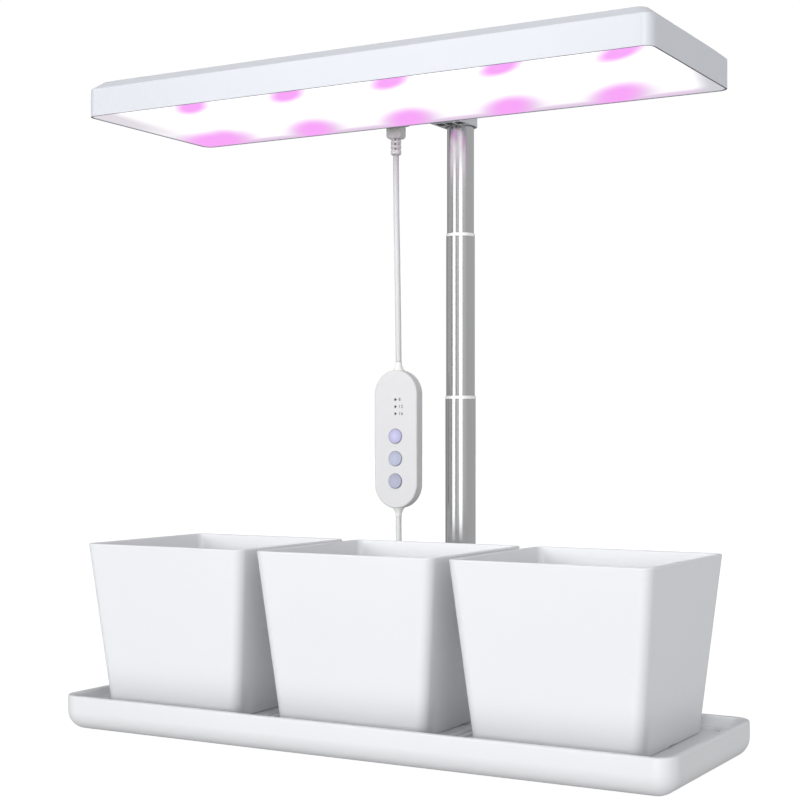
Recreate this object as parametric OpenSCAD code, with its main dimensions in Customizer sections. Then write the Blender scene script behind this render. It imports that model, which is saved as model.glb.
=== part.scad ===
// Countertop herb garden: three square pots in a drip tray, under a grow light
// on a telescopic pole. Millimetres, +Z up, +Y to the back.
// The origin is on the table, under the middle of the whole object.

/* [Pots] */
// Outer width of a pot at its rim
pot_top = 108.9; // [95:0.1:125]
// Outer width of a pot at its foot
pot_base = 90.2; // [82:0.1:93]
// Height of a pot
pot_h = 93; // [70:0.5:110]
// Wall thickness of a pot
pot_wall = 2.4; // [1.8:0.1:3.2]
// Radius of a pot's upright corners
pot_corner_r = 6; // [5:0.5:14]
// Thickness of a pot's floor
pot_floor_t = 2.4; // [1.8:0.1:3.5]
// Height of the foot ridge under a pot
pot_foot_h = 1.6; // [1:0.1:2.5]
// Free space between two pots at their rims
pot_gap = 8.2; // [3:0.1:15]
// Diameter of a drain hole
drain_d = 6; // [3:0.5:9]
// Distance of the outer drain holes from the pot's middle
drain_reach = 20; // [14:1:28]

/* [Tray] */
// How far the tray reaches past the outer pots' rims, left and right
tray_end = 12.9; // [9:0.1:25]
// How far the tray reaches past the pots' rims at the front
tray_front = 6.4; // [2:0.1:15]
// How far the tray reaches past the pots' rims at the back
tray_back = 10.3; // [4:0.1:20]
// Height of the tray's rim above the table
tray_h = 19.7; // [18.5:0.1:28]
// Radius of the tray's corners, seen from above
tray_corner_r = 11.5; // [11:0.5:16]
// Radius of the tray's outer bottom edge
tray_edge_r = 11; // [6:0.5:11]
// Thickness of the rim
rim_t = 3.8; // [3:0.1:5]
// Radius on the rim's two top edges
rim_lip_r = 1.2; // [0.5:0.1:1.4]
// Height of the tray's floor above the table
floor_z = 13.5; // [12.5:0.1:15]
// Thickness of the tray's floor
floor_t = 2.5; // [1.8:0.1:3.5]
// Width of the flat foot round the tray's underside
foot_w = 3.5; // [2.5:0.5:6]
// Width of the webs between the underside pockets
web_t = 3; // [2:0.5:5]
// Width of the low ribs that frame a pot's place
rib_w = 1.6; // [1:0.1:2.5]
// Height of those ribs above the floor
rib_h = 1.2; // [0.8:0.1:2.5]
// Distance between the ribs of two neighbouring places, middle to middle
rib_gap = 6.2; // [4:0.1:9]

/* [Pole] */
// Outer diameter of the lower tube
tube_lower_d = 18; // [18:0.1:20]
// Outer diameter of the middle tube
tube_middle_d = 17; // [16.6:0.1:17]
// Outer diameter of the upper tube
tube_upper_d = 16; // [14:0.1:16]
// Length of each of the three tubes
tube_len = 186.5; // [180:0.5:195]
// Wall thickness of the upper tube
tube_upper_wall = 0.5; // [0.4:0.05:1.2]
// Radial play between two tubes
tube_play = 0.05; // [0.02:0.01:0.08]
// Length of the middle tube that stands out of the lower one
middle_out = 96.1; // [85:0.1:110]
// Length of the upper tube that stands out of the middle one
upper_out = 63.2; // [62:0.1:75]
// Height of the ring on a tube's mouth
mouth_ring_h = 1.2; // [0.8:0.1:2]
// How far that ring stands out from its tube
mouth_ring_proud = 0.1; // [0.05:0.05:0.4]
// Distance from the tray's back edge to the pole's axis
pole_reach = 17.3; // [16:0.1:24]
// Radius of the socket lug on the tray
lug_r = 12; // [11:0.5:14]
// Height of the socket's floor above the table
socket_floor = 4; // [3:0.5:6]
// Height of the plug in the lower tube's foot
foot_plug_h = 24; // [16:0.5:26]
// Length of the guide that closes a sliding tube's lower end
guide_h = 12; // [6:0.5:14]
// Thickness of that guide's flange
guide_flange = 1.5; // [1:0.1:2.5]

/* [Lamp] */
// Length of the lamp
lamp_l = 343; // [280:1:420]
// Depth of the lamp, front to back
lamp_w = 115.2; // [104:0.1:140]
// Thickness of the lamp
lamp_h = 20.3; // [20:0.1:24]
// Radius of the lamp's upright corners
lamp_corner_r = 6; // [6:0.5:14]
// How far the bevel along the lamp's top edge reaches inward
lamp_bevel_in = 5.8; // [2:0.1:5.8]
// How far that bevel reaches down
lamp_bevel_h = 4.7; // [2:0.1:5]
// Thickness of the lamp's side walls above the diffuser
lamp_wall = 2.8; // [2.2:0.1:4]
// Thickness of the lamp's roof
lamp_roof = 2; // [1.5:0.1:3]
// Thickness of the thin lip round the diffuser
lamp_lip = 1.1; // [0.8:0.1:1.6]
// Thickness of the diffuser
diffuser_t = 2; // [1.2:0.1:3]
// Gap between the diffuser and the lip round it
diffuser_gap = 0.25; // [0.1:0.05:0.5]
// Space between the LED board and the housing's side walls
board_gap = 9.2; // [9:0.1:14]
// Thickness of the LED board
board_t = 1.6; // [1:0.1:2.4]
// Height of the posts that carry the LED board
board_post_h = 8.3; // [7.5:0.1:9]
// Distance between two magenta LEDs of a row, for each unit of the board's length
magenta_pitch_share = 0.203; // [0.16:0.001:0.203]
// Middle of the front magenta row, right of the board's, for each unit of its length
front_row_share = 0.074; // [0:0.001:0.074]
// Middle of the back magenta row, left of the board's, for each unit of its length
back_row_share = 0.034; // [0:0.001:0.074]
// Distance of a magenta row from the board's edge
magenta_edge = 10; // [8:0.5:12]
// Distance between two white LEDs of a row, for each unit of the board's length
white_pitch_share = 0.113; // [0.09:0.001:0.12]
// Distance between two rows of white LEDs
white_row = 22; // [12:1:22]
// Side of an LED
led_w = 3.2; // [2:0.1:5]
// Height of an LED
led_h = 1.2; // [0.6:0.1:2]

/* [Bracket] */
// Distance from the lamp's back edge to the pole's axis
bracket_reach = 19.5; // [15:0.5:26]
// Radius of the bracket's round end
bracket_r = 10; // [9.5:0.1:13]
// Depth of the bore that takes the upper tube
bracket_bore_h = 14; // [10:0.5:14.5]
// Thickness of the bracket's roof over the bore
bracket_roof = 2.5; // [1.8:0.1:3]
// Width of the bracket's flange on the lamp
flange_w = 44; // [40:1:54]
// Thickness of the flange
flange_t = 2.5; // [2:0.1:4]
// Height of the flange
flange_h = 12; // [9:0.5:12]

/* [Power inlet] */
// Width of the inlet housing on the lamp's back
inlet_w = 15; // [13:0.5:20]
// Depth of the inlet housing
inlet_d = 12; // [10.5:0.5:16]
// Width of the lamp plug
lamp_plug_w = 10; // [8:0.5:12]
// Depth of the lamp plug
lamp_plug_d = 6.5; // [5:0.5:8]
// Height of the lamp plug's grip below the inlet
lamp_plug_h = 7.5; // [6:0.5:12]
// Length of the plug's nose inside the inlet
nose_l = 8; // [5:0.5:9]

/* [Controller] */
// Width of the timer controller
ctrl_w = 29.2; // [26:0.1:34]
// Height of the controller
ctrl_h = 82.4; // [78:0.1:100]
// Thickness of the controller
ctrl_t = 8; // [7.6:0.1:11]
// Wall thickness of the controller's shells
ctrl_wall = 1.5; // [1.2:0.1:1.8]
// Depth of the controller's back shell
ctrl_back_t = 3; // [2.4:0.1:3.2]
// Radius of the front shell's edge
ctrl_front_r = 1; // [0.4:0.1:1.4]
// Radius of the back shell's edge
ctrl_back_r = 1.6; // [0.6:0.1:2]
// Thickness of the controller's board
ctrl_board_t = 1.2; // [0.8:0.1:1.6]
// Diameter of a button
button_d = 8.7; // [6:0.1:10]
// Play round a button
button_play = 0.2; // [0.1:0.05:0.4]
// How far a button stands out of the face
button_proud = 0.7; // [0.65:0.05:1.5]
// Travel of a button
button_travel = 0.6; // [0.3:0.05:0.65]
// Distance between two buttons
button_pitch = 13.4; // [12.5:0.1:15]
// Height of the top button above the controller's middle
button_top_y = 1.8; // [-1:0.1:6]
// Diameter of an indicator
indicator_d = 1.3; // [0.8:0.1:2]
// Distance between two indicators
indicator_pitch = 4.2; // [3:0.1:5]
// Height of the top indicator above the controller's middle
indicator_top_y = 23.6; // [20:0.1:25]

/* [Cord] */
// Diameter of the cord
cord_d = 3.5; // [3:0.1:4]
// Mean diameter of the coil
coil_d = 38; // [35:1:42]
// Thickness of the cord tie
tie_t = 0.7; // [0.4:0.1:1]
// Width of the cord tie
tie_w = 6; // [4:0.5:10]
// Width of the grip of the USB plug
usb_w = 15; // [13:0.5:18]
// Height of that grip
usb_h = 7.4; // [6.5:0.1:9]
// Length of that grip
usb_l = 20; // [16:0.5:26]

/* [Hidden] */
$fn = 64;
eps = 0.01;          // a cut reaches this far past a face
cut = 5;             // a cut that leaves the piece altogether starts this far out

// Pots and tray
pot_pitch = pot_top + pot_gap;
tray_l = 3 * pot_top + 2 * pot_gap + 2 * tray_end;
tray_w = tray_front + pot_top + tray_back;
object_w = tray_w + pole_reach + lug_r;
tray_y = -object_w / 2 + tray_w / 2;
pot_y = -object_w / 2 + tray_front + pot_top / 2;
pole_y = tray_y + tray_w / 2 + pole_reach;
pot_corner_steps = 8;
pot_fillet_r = 3;
rib_corner_r = 10.5;
pot_lip_r = pot_wall / 3;
drain_notch_w = 9;
foot_ridge_w = 4;
floor_fillet_r = 2.5;
lug_h = tray_h - rim_lip_r;
pocket_l = (tray_l - 2 * (tray_edge_r + foot_w) - 2 * web_t) / 3;
pocket_w = tray_w - 2 * (tray_edge_r + foot_w);
pocket_r = 6;

// Screws: the same small screw holds the pole at both ends
screw_r = 1.5;
screw_head_r = 3;
screw_head_h = 1.8;
screw_play = 0.1;
screw_slot_w = 0.8;
screw_slot_h = 0.6;
screw_l = 12;

// Pole
tube_lower_r = tube_lower_d / 2;
tube_middle_r = tube_middle_d / 2;
tube_upper_r = tube_upper_d / 2;
lower_top = socket_floor + tube_len;
middle_top = lower_top + middle_out;
middle_bottom = middle_top - tube_len;
lamp_z = middle_top + mouth_ring_h + upper_out;
upper_top = lamp_z + bracket_bore_h;
upper_bottom = upper_top - tube_len;
guide_bore_r = 4;
guide_slot_w = 1.2;

// Lamp
lamp_y = pole_y - bracket_reach - lamp_w / 2;
lamp_back = pole_y - bracket_reach;
diffuser_z = lamp_z + 0.3;
ledge_z = diffuser_z + diffuser_t;
roof_z = lamp_z + lamp_h - lamp_roof;
step_z = roof_z - lamp_bevel_h;       // above this height the cavity is narrower
step_in = lamp_bevel_in * 2 / 3;      // by this much at each side, to keep clear of the bevel
board_z = roof_z - board_post_h - board_t;
board_l = lamp_l - 2 * (lamp_wall + board_gap);
board_w = lamp_w - 2 * (lamp_wall + board_gap);
board_post_r = 4;
board_post_x = board_l / 2 - 8;
board_post_y = board_w / 2 - 21;
board_corner_r = 3;
board_hole_r = screw_r + screw_play;
white_count = 8;
magenta_count = 5;
flange_z = lamp_z + 2.5;
flange_screw_x = flange_w / 2 - 5.5;
flange_screw_z = flange_z + flange_h / 2;
inner_boss_l = 6;
inner_boss_r = 3.2;

// Cord routes. The two ends of the upper cord settle where the lamp plug and the controller hang.
cord_upper_points = [
    [-37, 53, 336], [-37, 53, 327], [-36.9, 53, 318], [-36.8, 53, 309], [-36.7, 53, 300],
    [-36.5, 53, 291], [-36.3, 53, 282], [-36.1, 53, 273], [-36, 53, 264], [-35.8, 53, 255],
    [-35.7, 53, 246], [-35.5, 53, 237], [-35.4, 53, 228], [-35.3, 53, 220], [-35.2, 53, 212]
];
cord_lower_points = [
    [-35.2, 53, 120], [-35.2, 53, 112], [-35.1, 53, 103], [-35.1, 53, 94], [-35, 53, 85],
    [-35, 53, 76], [-35, 53, 67], [-35, 53, 58], [-35, 53, 49], [-35, 53, 40],
    [-35.1, 53, 32], [-35.4, 53, 24], [-36.5, 53, 17], [-39.1, 53, 11], [-43.4, 53, 6.2],
    [-49, 52.9, 3.5], [-56, 52.8, 2.6], [-64, 52.8, 2.6]
];
cord_tail_points = [
    [-64, 101.2, 6.1], [-58, 101.1, 5.7], [-52, 100.8, 4.8], [-46, 100.4, 4], [-41, 100.1, 3.7],
    [-36, 100, 3.7]
];
cord_sides = 8;
coil_x = -72;
coil_y = 77;
coil_rows = 4;       // turns side by side
coil_layers = 2;
tie_play = 0.1;
coil_lift = tie_t + tie_play;   // the coil lies on its tie
coil_w = coil_rows * cord_d;
coil_h = coil_layers * cord_d;
tie_angle = 215;
cord_top = cord_upper_points[0];
ctrl_x = cord_lower_points[0][0];
cord_y = cord_lower_points[0][1];
ctrl_top = cord_upper_points[len(cord_upper_points) - 1][2];
ctrl_bottom = cord_lower_points[0][2];
ctrl_z = (ctrl_top + ctrl_bottom) / 2;
usb_at = cord_tail_points[len(cord_tail_points) - 1];

// Power inlet and lamp plug
inlet_z = lamp_z + 2;
inlet_roof = 1.5;    // of the inlet, over its neck
inlet_neck_w = 8;
inlet_neck_h = 3.4;
inlet_neck_l = 6;
neck_play = 0.1;
nose_w = lamp_plug_w - 2;
nose_d = lamp_plug_d - 2;
nose_play = 0.1;
lead_r = 0.7;
lead_gap = 3;
connector_l = 8;
connector_w = 6;
connector_h = 3.5;
lead_z = board_z + board_t + connector_h / 2;
inlet_h = lead_z + inlet_neck_h / 2 + inlet_roof - inlet_z;
connector_y = lamp_y + board_w / 2 - 6;
relief_r = 3.15;
relief_ribs = 3;
relief_tip_h = 1;

// Controller, seen from its own front: x right, y up, z out of the face, 0 at the cord
ctrl_face = ctrl_t / 2;
ctrl_seam = -ctrl_face + ctrl_back_t;
ctrl_floor = -ctrl_face + ctrl_wall;
ctrl_inside = ctrl_face - ctrl_wall;
ctrl_board_top = ctrl_floor + ctrl_board_t;
ctrl_board_w = ctrl_w - 2 * ctrl_wall - 1;
ctrl_board_h = ctrl_h - 2 * ctrl_wall - 1;
button_flange_t = 0.8;
button_back = ctrl_inside - 0.2 - button_flange_t;
switch_w = 4.6;
switch_top = button_back - button_travel - 0.05;
switch_body_h = 1.2;
switch_pin_r = 1;
button_flange_r = button_d / 2 + button_play + 0.6;
post_r = 2.3;
post_y = 2 * button_pitch - button_top_y + button_flange_r + 0.25 + post_r;
small_screw_r = 0.9;
small_head_r = 1.8;
small_head_h = 1;
boot_arc_r = 8;
boot_tip_r = cord_d / 2 + 0.15;
boot_r = 3.6;
seat_depth = 3;

// --- Shared shapes -------------------------------------------------------------------------

// Rectangle with round corners
module rounded_rect(l, w, r) {
    square([l, w - 2 * r], center = true);
    square([l - 2 * r, w], center = true);
    for (x = [-1, 1], y = [-1, 1])
        translate([x * (l / 2 - r), y * (w / 2 - r)]) circle(r);
}

// Sweeps a profile round a rounded rectangle; the profile's x runs outward from the corner axis
module frame_sweep(l, w, corner) {
    for (q = [0:3]) {
        sx = (q == 0 || q == 3) ? 1 : -1;
        sy = q < 2 ? 1 : -1;
        translate([sx * (l / 2 - corner), sy * (w / 2 - corner), 0])
            rotate([0, 0, 90 * q]) rotate_extrude(angle = 90) children();
    }
    for (m = [0, 1]) {
        mirror([0, m, 0]) translate([-(l / 2 - corner), w / 2 - corner, 0])
            rotate([90, 0, 90]) linear_extrude(l - 2 * corner) children();
        mirror([m, 0, 0]) translate([l / 2 - corner, w / 2 - corner, 0])
            rotate([90, 0, 0]) linear_extrude(w - 2 * corner) children();
    }
}

// Half of a section: its lower outer corner is rounded
module soft_profile(h, reach, edge) {
    square([reach - edge, h]);
    translate([0, edge]) square([reach, h - edge]);
    translate([reach - edge, edge]) intersection() {
        circle(edge);
        translate([0, -edge]) square(edge);
    }
}

// Half of a section: its lower outer corner is cut off
module bevel_profile(h, reach, inset, drop) {
    polygon([[0, 0], [reach - inset, 0], [reach, drop], [reach, h], [0, h]]);
}

// Block with round corners in plan and the given half section all round
module swept_block(l, w, h, corner) {
    frame_sweep(l, w, corner) children();
    translate([-(l / 2 - corner), -(w / 2 - corner), 0])
        cube([l - 2 * corner, w - 2 * corner, h]);
}

// Arm with a round end at the pole, reaching back along -Y
module lug(r, reach, h) {
    cylinder(r = r, h = h);
    translate([-r, -reach, 0]) cube([2 * r, reach, h]);
}

module pipe(outer, inner, h) {
    difference() {
        cylinder(r = outer, h = h);
        translate([0, 0, -eps]) cylinder(r = inner, h = h + 2 * eps);
    }
}

// Pan-head screw, its head's underside at 0 and its shank up +Z
module screw(r, l, head_r, head_h) {
    cylinder(r = r, h = l);
    difference() {
        translate([0, 0, -head_h]) cylinder(r = head_r, h = head_h);
        translate([-head_r, -screw_slot_w / 2, -head_h - eps])
            cube([2 * head_r, screw_slot_w, screw_slot_h + eps]);
    }
}

// --- Tray ----------------------------------------------------------------------------------

// The rim's section, with both top edges rounded and a fillet down to the floor
module rim_profile() {
    inner = tray_corner_r - rim_t;
    difference() {
        union() {
            translate([inner, floor_z - 1]) square([rim_t, tray_h - rim_lip_r - floor_z + 1]);
            translate([inner + rim_lip_r, floor_z]) square([rim_t - 2 * rim_lip_r, tray_h - floor_z]);
            for (x = [inner + rim_lip_r, tray_corner_r - rim_lip_r])
                translate([x, tray_h - rim_lip_r]) circle(rim_lip_r);
            translate([inner - floor_fillet_r, floor_z - 1])
                square([floor_fillet_r + eps, floor_fillet_r + 1]);
        }
        translate([inner - floor_fillet_r, floor_z + floor_fillet_r]) circle(floor_fillet_r);
    }
}

// Low rib that frames the place of one pot
module place_rib() {
    l = pot_pitch - rib_gap;
    w = pot_top - rib_w;
    linear_extrude(rib_h) difference() {
        rounded_rect(l + rib_w, w + rib_w, rib_corner_r);
        rounded_rect(l - rib_w, w - rib_w, rib_corner_r - rib_w);
    }
}

module tray() {
    color("whitesmoke") difference() {
        union() {
            translate([0, tray_y, 0]) {
                swept_block(tray_l, tray_w, floor_z, tray_corner_r)
                    soft_profile(floor_z, tray_corner_r, tray_edge_r);
                frame_sweep(tray_l, tray_w, tray_corner_r) rim_profile();
            }
            for (i = [-1:1]) translate([i * pot_pitch, pot_y, floor_z]) place_rib();
            translate([0, pole_y, 0]) lug(lug_r, pole_reach + rim_t - rim_lip_r, lug_h);
        }
        for (i = [-1:1])
            translate([i * (pocket_l + web_t), tray_y, -eps])
                linear_extrude(floor_z - floor_t + eps) rounded_rect(pocket_l, pocket_w, pocket_r);
        translate([0, pole_y, socket_floor]) cylinder(r = tube_lower_r + tube_play, h = tray_h);
        translate([0, pole_y, -eps]) {
            cylinder(r = screw_r + screw_play, h = socket_floor + 2 * eps);
            cylinder(r = screw_head_r + 2 * screw_play, h = screw_head_h + 0.4 + eps);
        }
    }
}

// --- Pots ----------------------------------------------------------------------------------

function pot_half(h) = (pot_base + (pot_top - pot_base) * h / pot_h) / 2;

// Ring of points round a rounded square
function square_ring(half, r, z) = [
    for (q = [0:3], k = [0:pot_corner_steps])
        let (
            a = 90 * q + 90 * k / pot_corner_steps,
            sx = (q == 0 || q == 3) ? 1 : -1,
            sy = q < 2 ? 1 : -1
        )
        [sx * (half - r) + r * cos(a), sy * (half - r) + r * sin(a), z]
];

// Closed skin over a stack of rounded squares, each [height, half width, corner radius]
module loft(sections) {
    n = 4 * (pot_corner_steps + 1);
    last = len(sections) - 1;
    points = [for (s = sections) each square_ring(s[1], s[2], s[0])];
    walls = [
        for (i = [0:last - 1], j = [0:n - 1])
            let (a = i * n + j, b = i * n + (j + 1) % n)
            each [[a, a + n, b], [b, a + n, b + n]]
    ];
    polyhedron(
        points = points,
        faces = concat([[for (j = [0:n - 1]) j]], walls, [[for (j = [n - 1:-1:0]) last * n + j]])
    );
}

// Up the outside, over the lip and down the inside
function pot_sections() = let (
    half = pot_half(0),
    rim = pot_half(pot_h),
    inner_r = pot_corner_r - pot_wall,
    floor_top = pot_foot_h + pot_floor_t
) [
    [pot_foot_h, half - foot_ridge_w - 0.6, inner_r],
    [0, half - foot_ridge_w, inner_r + 0.6],
    [0, half - 1, pot_corner_r - 1],
    [1, pot_half(1), pot_corner_r],
    [pot_h - pot_lip_r, pot_half(pot_h - pot_lip_r), pot_corner_r],
    [pot_h - 0.3 * pot_lip_r, rim - 0.3 * pot_lip_r, pot_corner_r - 0.3 * pot_lip_r],
    [pot_h, rim - pot_lip_r, pot_corner_r - pot_lip_r],
    [pot_h, rim - pot_wall + pot_lip_r, inner_r + pot_lip_r],
    [pot_h - 0.3 * pot_lip_r, rim - pot_wall + 0.3 * pot_lip_r, inner_r + 0.3 * pot_lip_r],
    [pot_h - pot_lip_r, pot_half(pot_h - pot_lip_r) - pot_wall, inner_r],
    [floor_top + pot_fillet_r, pot_half(floor_top + pot_fillet_r) - pot_wall, inner_r],
    [floor_top + 0.3 * pot_fillet_r, pot_half(floor_top) - pot_wall - 0.3 * pot_fillet_r, inner_r - 0.5],
    [floor_top, pot_half(floor_top) - pot_wall - pot_fillet_r, inner_r - 1.5]
];

module pot(place) {
    color("white") translate([place * pot_pitch, pot_y, floor_z]) difference() {
        loft(pot_sections());
        for (p = [[0, 0], [1, 1], [1, -1], [-1, 1], [-1, -1]])
            translate([p[0] * drain_reach, p[1] * drain_reach, -eps])
                cylinder(d = drain_d, h = pot_foot_h + pot_floor_t + 2 * eps);
        for (a = [0, 90])
            rotate([0, 0, a]) translate([-pot_base, -drain_notch_w / 2, -eps])
                cube([2 * pot_base, drain_notch_w, pot_foot_h / 2 + eps]);
    }
}

module pot_left() { pot(-1); }
module pot_middle() { pot(0); }
module pot_right() { pot(1); }

// --- Pole ----------------------------------------------------------------------------------

module socket_screw() {
    color("silver") translate([0, pole_y, screw_head_h + 0.4])
        screw(screw_r, screw_l, screw_head_r, screw_head_h);
}

module foot_plug() {
    color("dimgray") translate([0, pole_y, socket_floor])
        pipe(tube_middle_r + tube_play / 2, screw_r + screw_play / 2, foot_plug_h);
}

module tube_lower() {
    color("silver") translate([0, pole_y, socket_floor])
        pipe(tube_lower_r, tube_middle_r + tube_play, tube_len);
}

// Bright ring on a tube's mouth, its outer edge rounded
module mouth_ring(tube_r, bore_r) {
    outer = tube_r + mouth_ring_proud;
    edge = min((outer - bore_r) / 2.5, mouth_ring_h / 3);
    color("white") rotate_extrude() {
        translate([bore_r, 0]) square([outer - edge - bore_r, mouth_ring_h]);
        translate([bore_r, edge]) square([outer - bore_r, mouth_ring_h - 2 * edge]);
        for (z = [edge, mouth_ring_h - edge]) translate([outer - edge, z]) circle(edge);
    }
}

module mouth_ring_lower() {
    translate([0, pole_y, lower_top]) mouth_ring(tube_lower_r, tube_middle_r + tube_play);
}

module tube_middle() {
    color("silver") translate([0, pole_y, middle_bottom])
        pipe(tube_middle_r, tube_upper_r + tube_play, tube_len);
}

module mouth_ring_middle() {
    translate([0, pole_y, middle_top]) mouth_ring(tube_middle_r, tube_upper_r + tube_play);
}

// Slotted guide in a sliding tube's lower end; its flange runs in the next tube's bore
module guide(flange_r, stem_r) {
    color("dimgray") difference() {
        union() {
            translate([0, 0, -guide_flange]) cylinder(r = flange_r, h = guide_flange);
            cylinder(r = stem_r, h = guide_h);
        }
        translate([0, 0, -guide_flange - eps]) cylinder(r = guide_bore_r, h = guide_h + cut);
        for (a = [0, 90])
            rotate([0, 0, a]) translate([-flange_r - eps, -guide_slot_w / 2, guide_h / 3])
                cube([2 * (flange_r + eps), guide_slot_w, guide_h]);
    }
}

module guide_middle() {
    translate([0, pole_y, middle_bottom])
        guide(tube_middle_r, tube_upper_r + tube_play / 2);
}

module tube_upper() {
    color("silver") translate([0, pole_y, upper_bottom])
        pipe(tube_upper_r, tube_upper_r - tube_upper_wall, tube_len);
}

module guide_upper() {
    translate([0, pole_y, upper_bottom])
        guide(tube_upper_r, tube_upper_r - tube_upper_wall - tube_play / 2);
}

module head_plug() {
    color("dimgray") translate([0, pole_y, upper_top - guide_h])
        pipe(tube_upper_r - tube_upper_wall - tube_play / 2, screw_r + screw_play / 2, guide_h);
}

module head_screw() {
    color("silver") translate([0, pole_y, upper_top + bracket_roof]) mirror([0, 0, 1])
        screw(screw_r, screw_l, screw_head_r, screw_head_h);
}

// --- Lamp ----------------------------------------------------------------------------------

// The places of the board's four posts
module at_board_posts(z) {
    for (x = [-1, 1], y = [-1, 1])
        translate([x * board_post_x, lamp_y + y * board_post_y, z]) children();
}

module at_flange_screws() {
    for (x = [-1, 1])
        translate([x * flange_screw_x, lamp_back, flange_screw_z]) rotate([-90, 0, 0]) children();
}

module lamp_housing() {
    inner_l = lamp_l - 2 * lamp_wall;
    inner_w = lamp_w - 2 * lamp_wall;
    color("ghostwhite") difference() {
        union() {
            difference() {
                translate([0, lamp_y, lamp_z + lamp_h]) mirror([0, 0, 1])
                    swept_block(lamp_l, lamp_w, lamp_h, lamp_corner_r)
                        bevel_profile(lamp_h, lamp_corner_r, lamp_bevel_in, lamp_bevel_h);
                translate([0, lamp_y, ledge_z]) linear_extrude(step_z - ledge_z)
                    rounded_rect(inner_l, inner_w, lamp_corner_r - lamp_wall);
                translate([0, lamp_y, step_z - eps]) linear_extrude(roof_z - step_z + eps)
                    rounded_rect(inner_l - 2 * step_in, inner_w - 2 * step_in,
                                 lamp_corner_r - lamp_wall);
                translate([0, lamp_y, lamp_z - eps]) linear_extrude(ledge_z - lamp_z + 2 * eps)
                    rounded_rect(lamp_l - 2 * lamp_lip, lamp_w - 2 * lamp_lip, lamp_corner_r - lamp_lip);
            }
            at_board_posts(roof_z - board_post_h)
                cylinder(r = board_post_r, h = board_post_h + lamp_roof / 2);
            at_flange_screws() translate([0, 0, -lamp_wall - inner_boss_l])
                cylinder(r = inner_boss_r, h = inner_boss_l + lamp_wall / 2);
        }
        at_board_posts(roof_z - board_post_h - eps)
            cylinder(r = screw_r + screw_play / 2, h = board_post_h + eps);
        at_flange_screws() translate([0, 0, -lamp_wall - inner_boss_l - eps])
            cylinder(r = screw_r + screw_play / 2, h = inner_boss_l + lamp_wall + 2 * eps);
        translate([cord_top[0] - inlet_neck_w / 2 - neck_play, lamp_back - lamp_wall - eps,
                   lead_z - inlet_neck_h / 2 - neck_play])
            cube([inlet_neck_w + 2 * neck_play, lamp_wall + 2 * eps, inlet_neck_h + 2 * neck_play]);
    }
}

module lamp_diffuser() {
    inset = lamp_lip + diffuser_gap;
    color("lavenderblush") translate([0, lamp_y, diffuser_z]) linear_extrude(diffuser_t)
        rounded_rect(lamp_l - 2 * inset, lamp_w - 2 * inset, lamp_corner_r - inset);
}

module led_board() {
    color("lightgray") difference() {
        translate([0, lamp_y, board_z]) linear_extrude(board_t)
            rounded_rect(board_l, board_w, board_corner_r);
        at_board_posts(board_z - eps) cylinder(r = board_hole_r, h = board_t + 2 * eps);
    }
}

module board_screws() {
    color("silver") at_board_posts(board_z)
        screw(screw_r, board_post_h - 1, screw_head_r, led_h);
}

module led() {
    translate([-led_w / 2, -led_w / 2, 0]) cube([led_w, led_w, led_h]);
}

module leds_white() {
    color("lemonchiffon")
        for (row = [-1:1], i = [0:white_count - 1])
            translate([(i - (white_count - 1) / 2) * white_pitch_share * board_l,
                       lamp_y + row * white_row, board_z - led_h]) led();
}

module leds_magenta() {
    color("magenta")
        for (row = [[-1, front_row_share], [1, -back_row_share]], i = [0:magenta_count - 1])
            translate([((i - (magenta_count - 1) / 2) * magenta_pitch_share + row[1]) * board_l,
                       lamp_y + row[0] * (board_w / 2 - magenta_edge), board_z - led_h]) led();
}

module board_connector() {
    color("ivory") translate([cord_top[0] - connector_l / 2, connector_y - connector_w / 2,
                              board_z + board_t])
        cube([connector_l, connector_w, connector_h]);
}

module lamp_leads() {
    start = connector_y + connector_w / 2;
    color("firebrick")
        for (x = [-1, 1])
            translate([cord_top[0] + x * lead_gap / 2, start, lead_z]) rotate([-90, 0, 0])
                cylinder(r = lead_r, h = lamp_back - inlet_neck_l - start);
}

module lamp_bracket() {
    height = bracket_bore_h + bracket_roof;
    color("gainsboro") difference() {
        union() {
            translate([0, pole_y, lamp_z]) lug(bracket_r, bracket_reach, height);
            translate([-flange_w / 2, lamp_back, flange_z]) cube([flange_w, flange_t, flange_h]);
        }
        translate([0, pole_y, lamp_z - eps])
            cylinder(r = tube_upper_r + tube_play, h = bracket_bore_h + eps);
        translate([0, pole_y, lamp_z]) cylinder(r = screw_r + screw_play, h = height + eps);
        at_flange_screws() translate([0, 0, -eps])
            cylinder(r = screw_r + screw_play, h = flange_t + 2 * eps);
    }
}

module bracket_screws() {
    color("silver") at_flange_screws() translate([0, 0, flange_t]) mirror([0, 0, 1])
        screw(screw_r, flange_t + lamp_wall + inner_boss_l - 1, screw_head_r, screw_head_h);
}

module power_inlet() {
    color("whitesmoke") difference() {
        union() {
            translate([cord_top[0] - inlet_w / 2, lamp_back, inlet_z]) cube([inlet_w, inlet_d, inlet_h]);
            translate([cord_top[0] - inlet_neck_w / 2, lamp_back - inlet_neck_l,
                       lead_z - inlet_neck_h / 2])
                cube([inlet_neck_w, inlet_neck_l + eps, inlet_neck_h]);
        }
        translate([cord_top[0] - nose_w / 2 - nose_play, cord_top[1] - nose_d / 2 - nose_play,
                   inlet_z - eps])
            cube([nose_w + 2 * nose_play, nose_d + 2 * nose_play, nose_l + 0.5 + eps]);
    }
}

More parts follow.
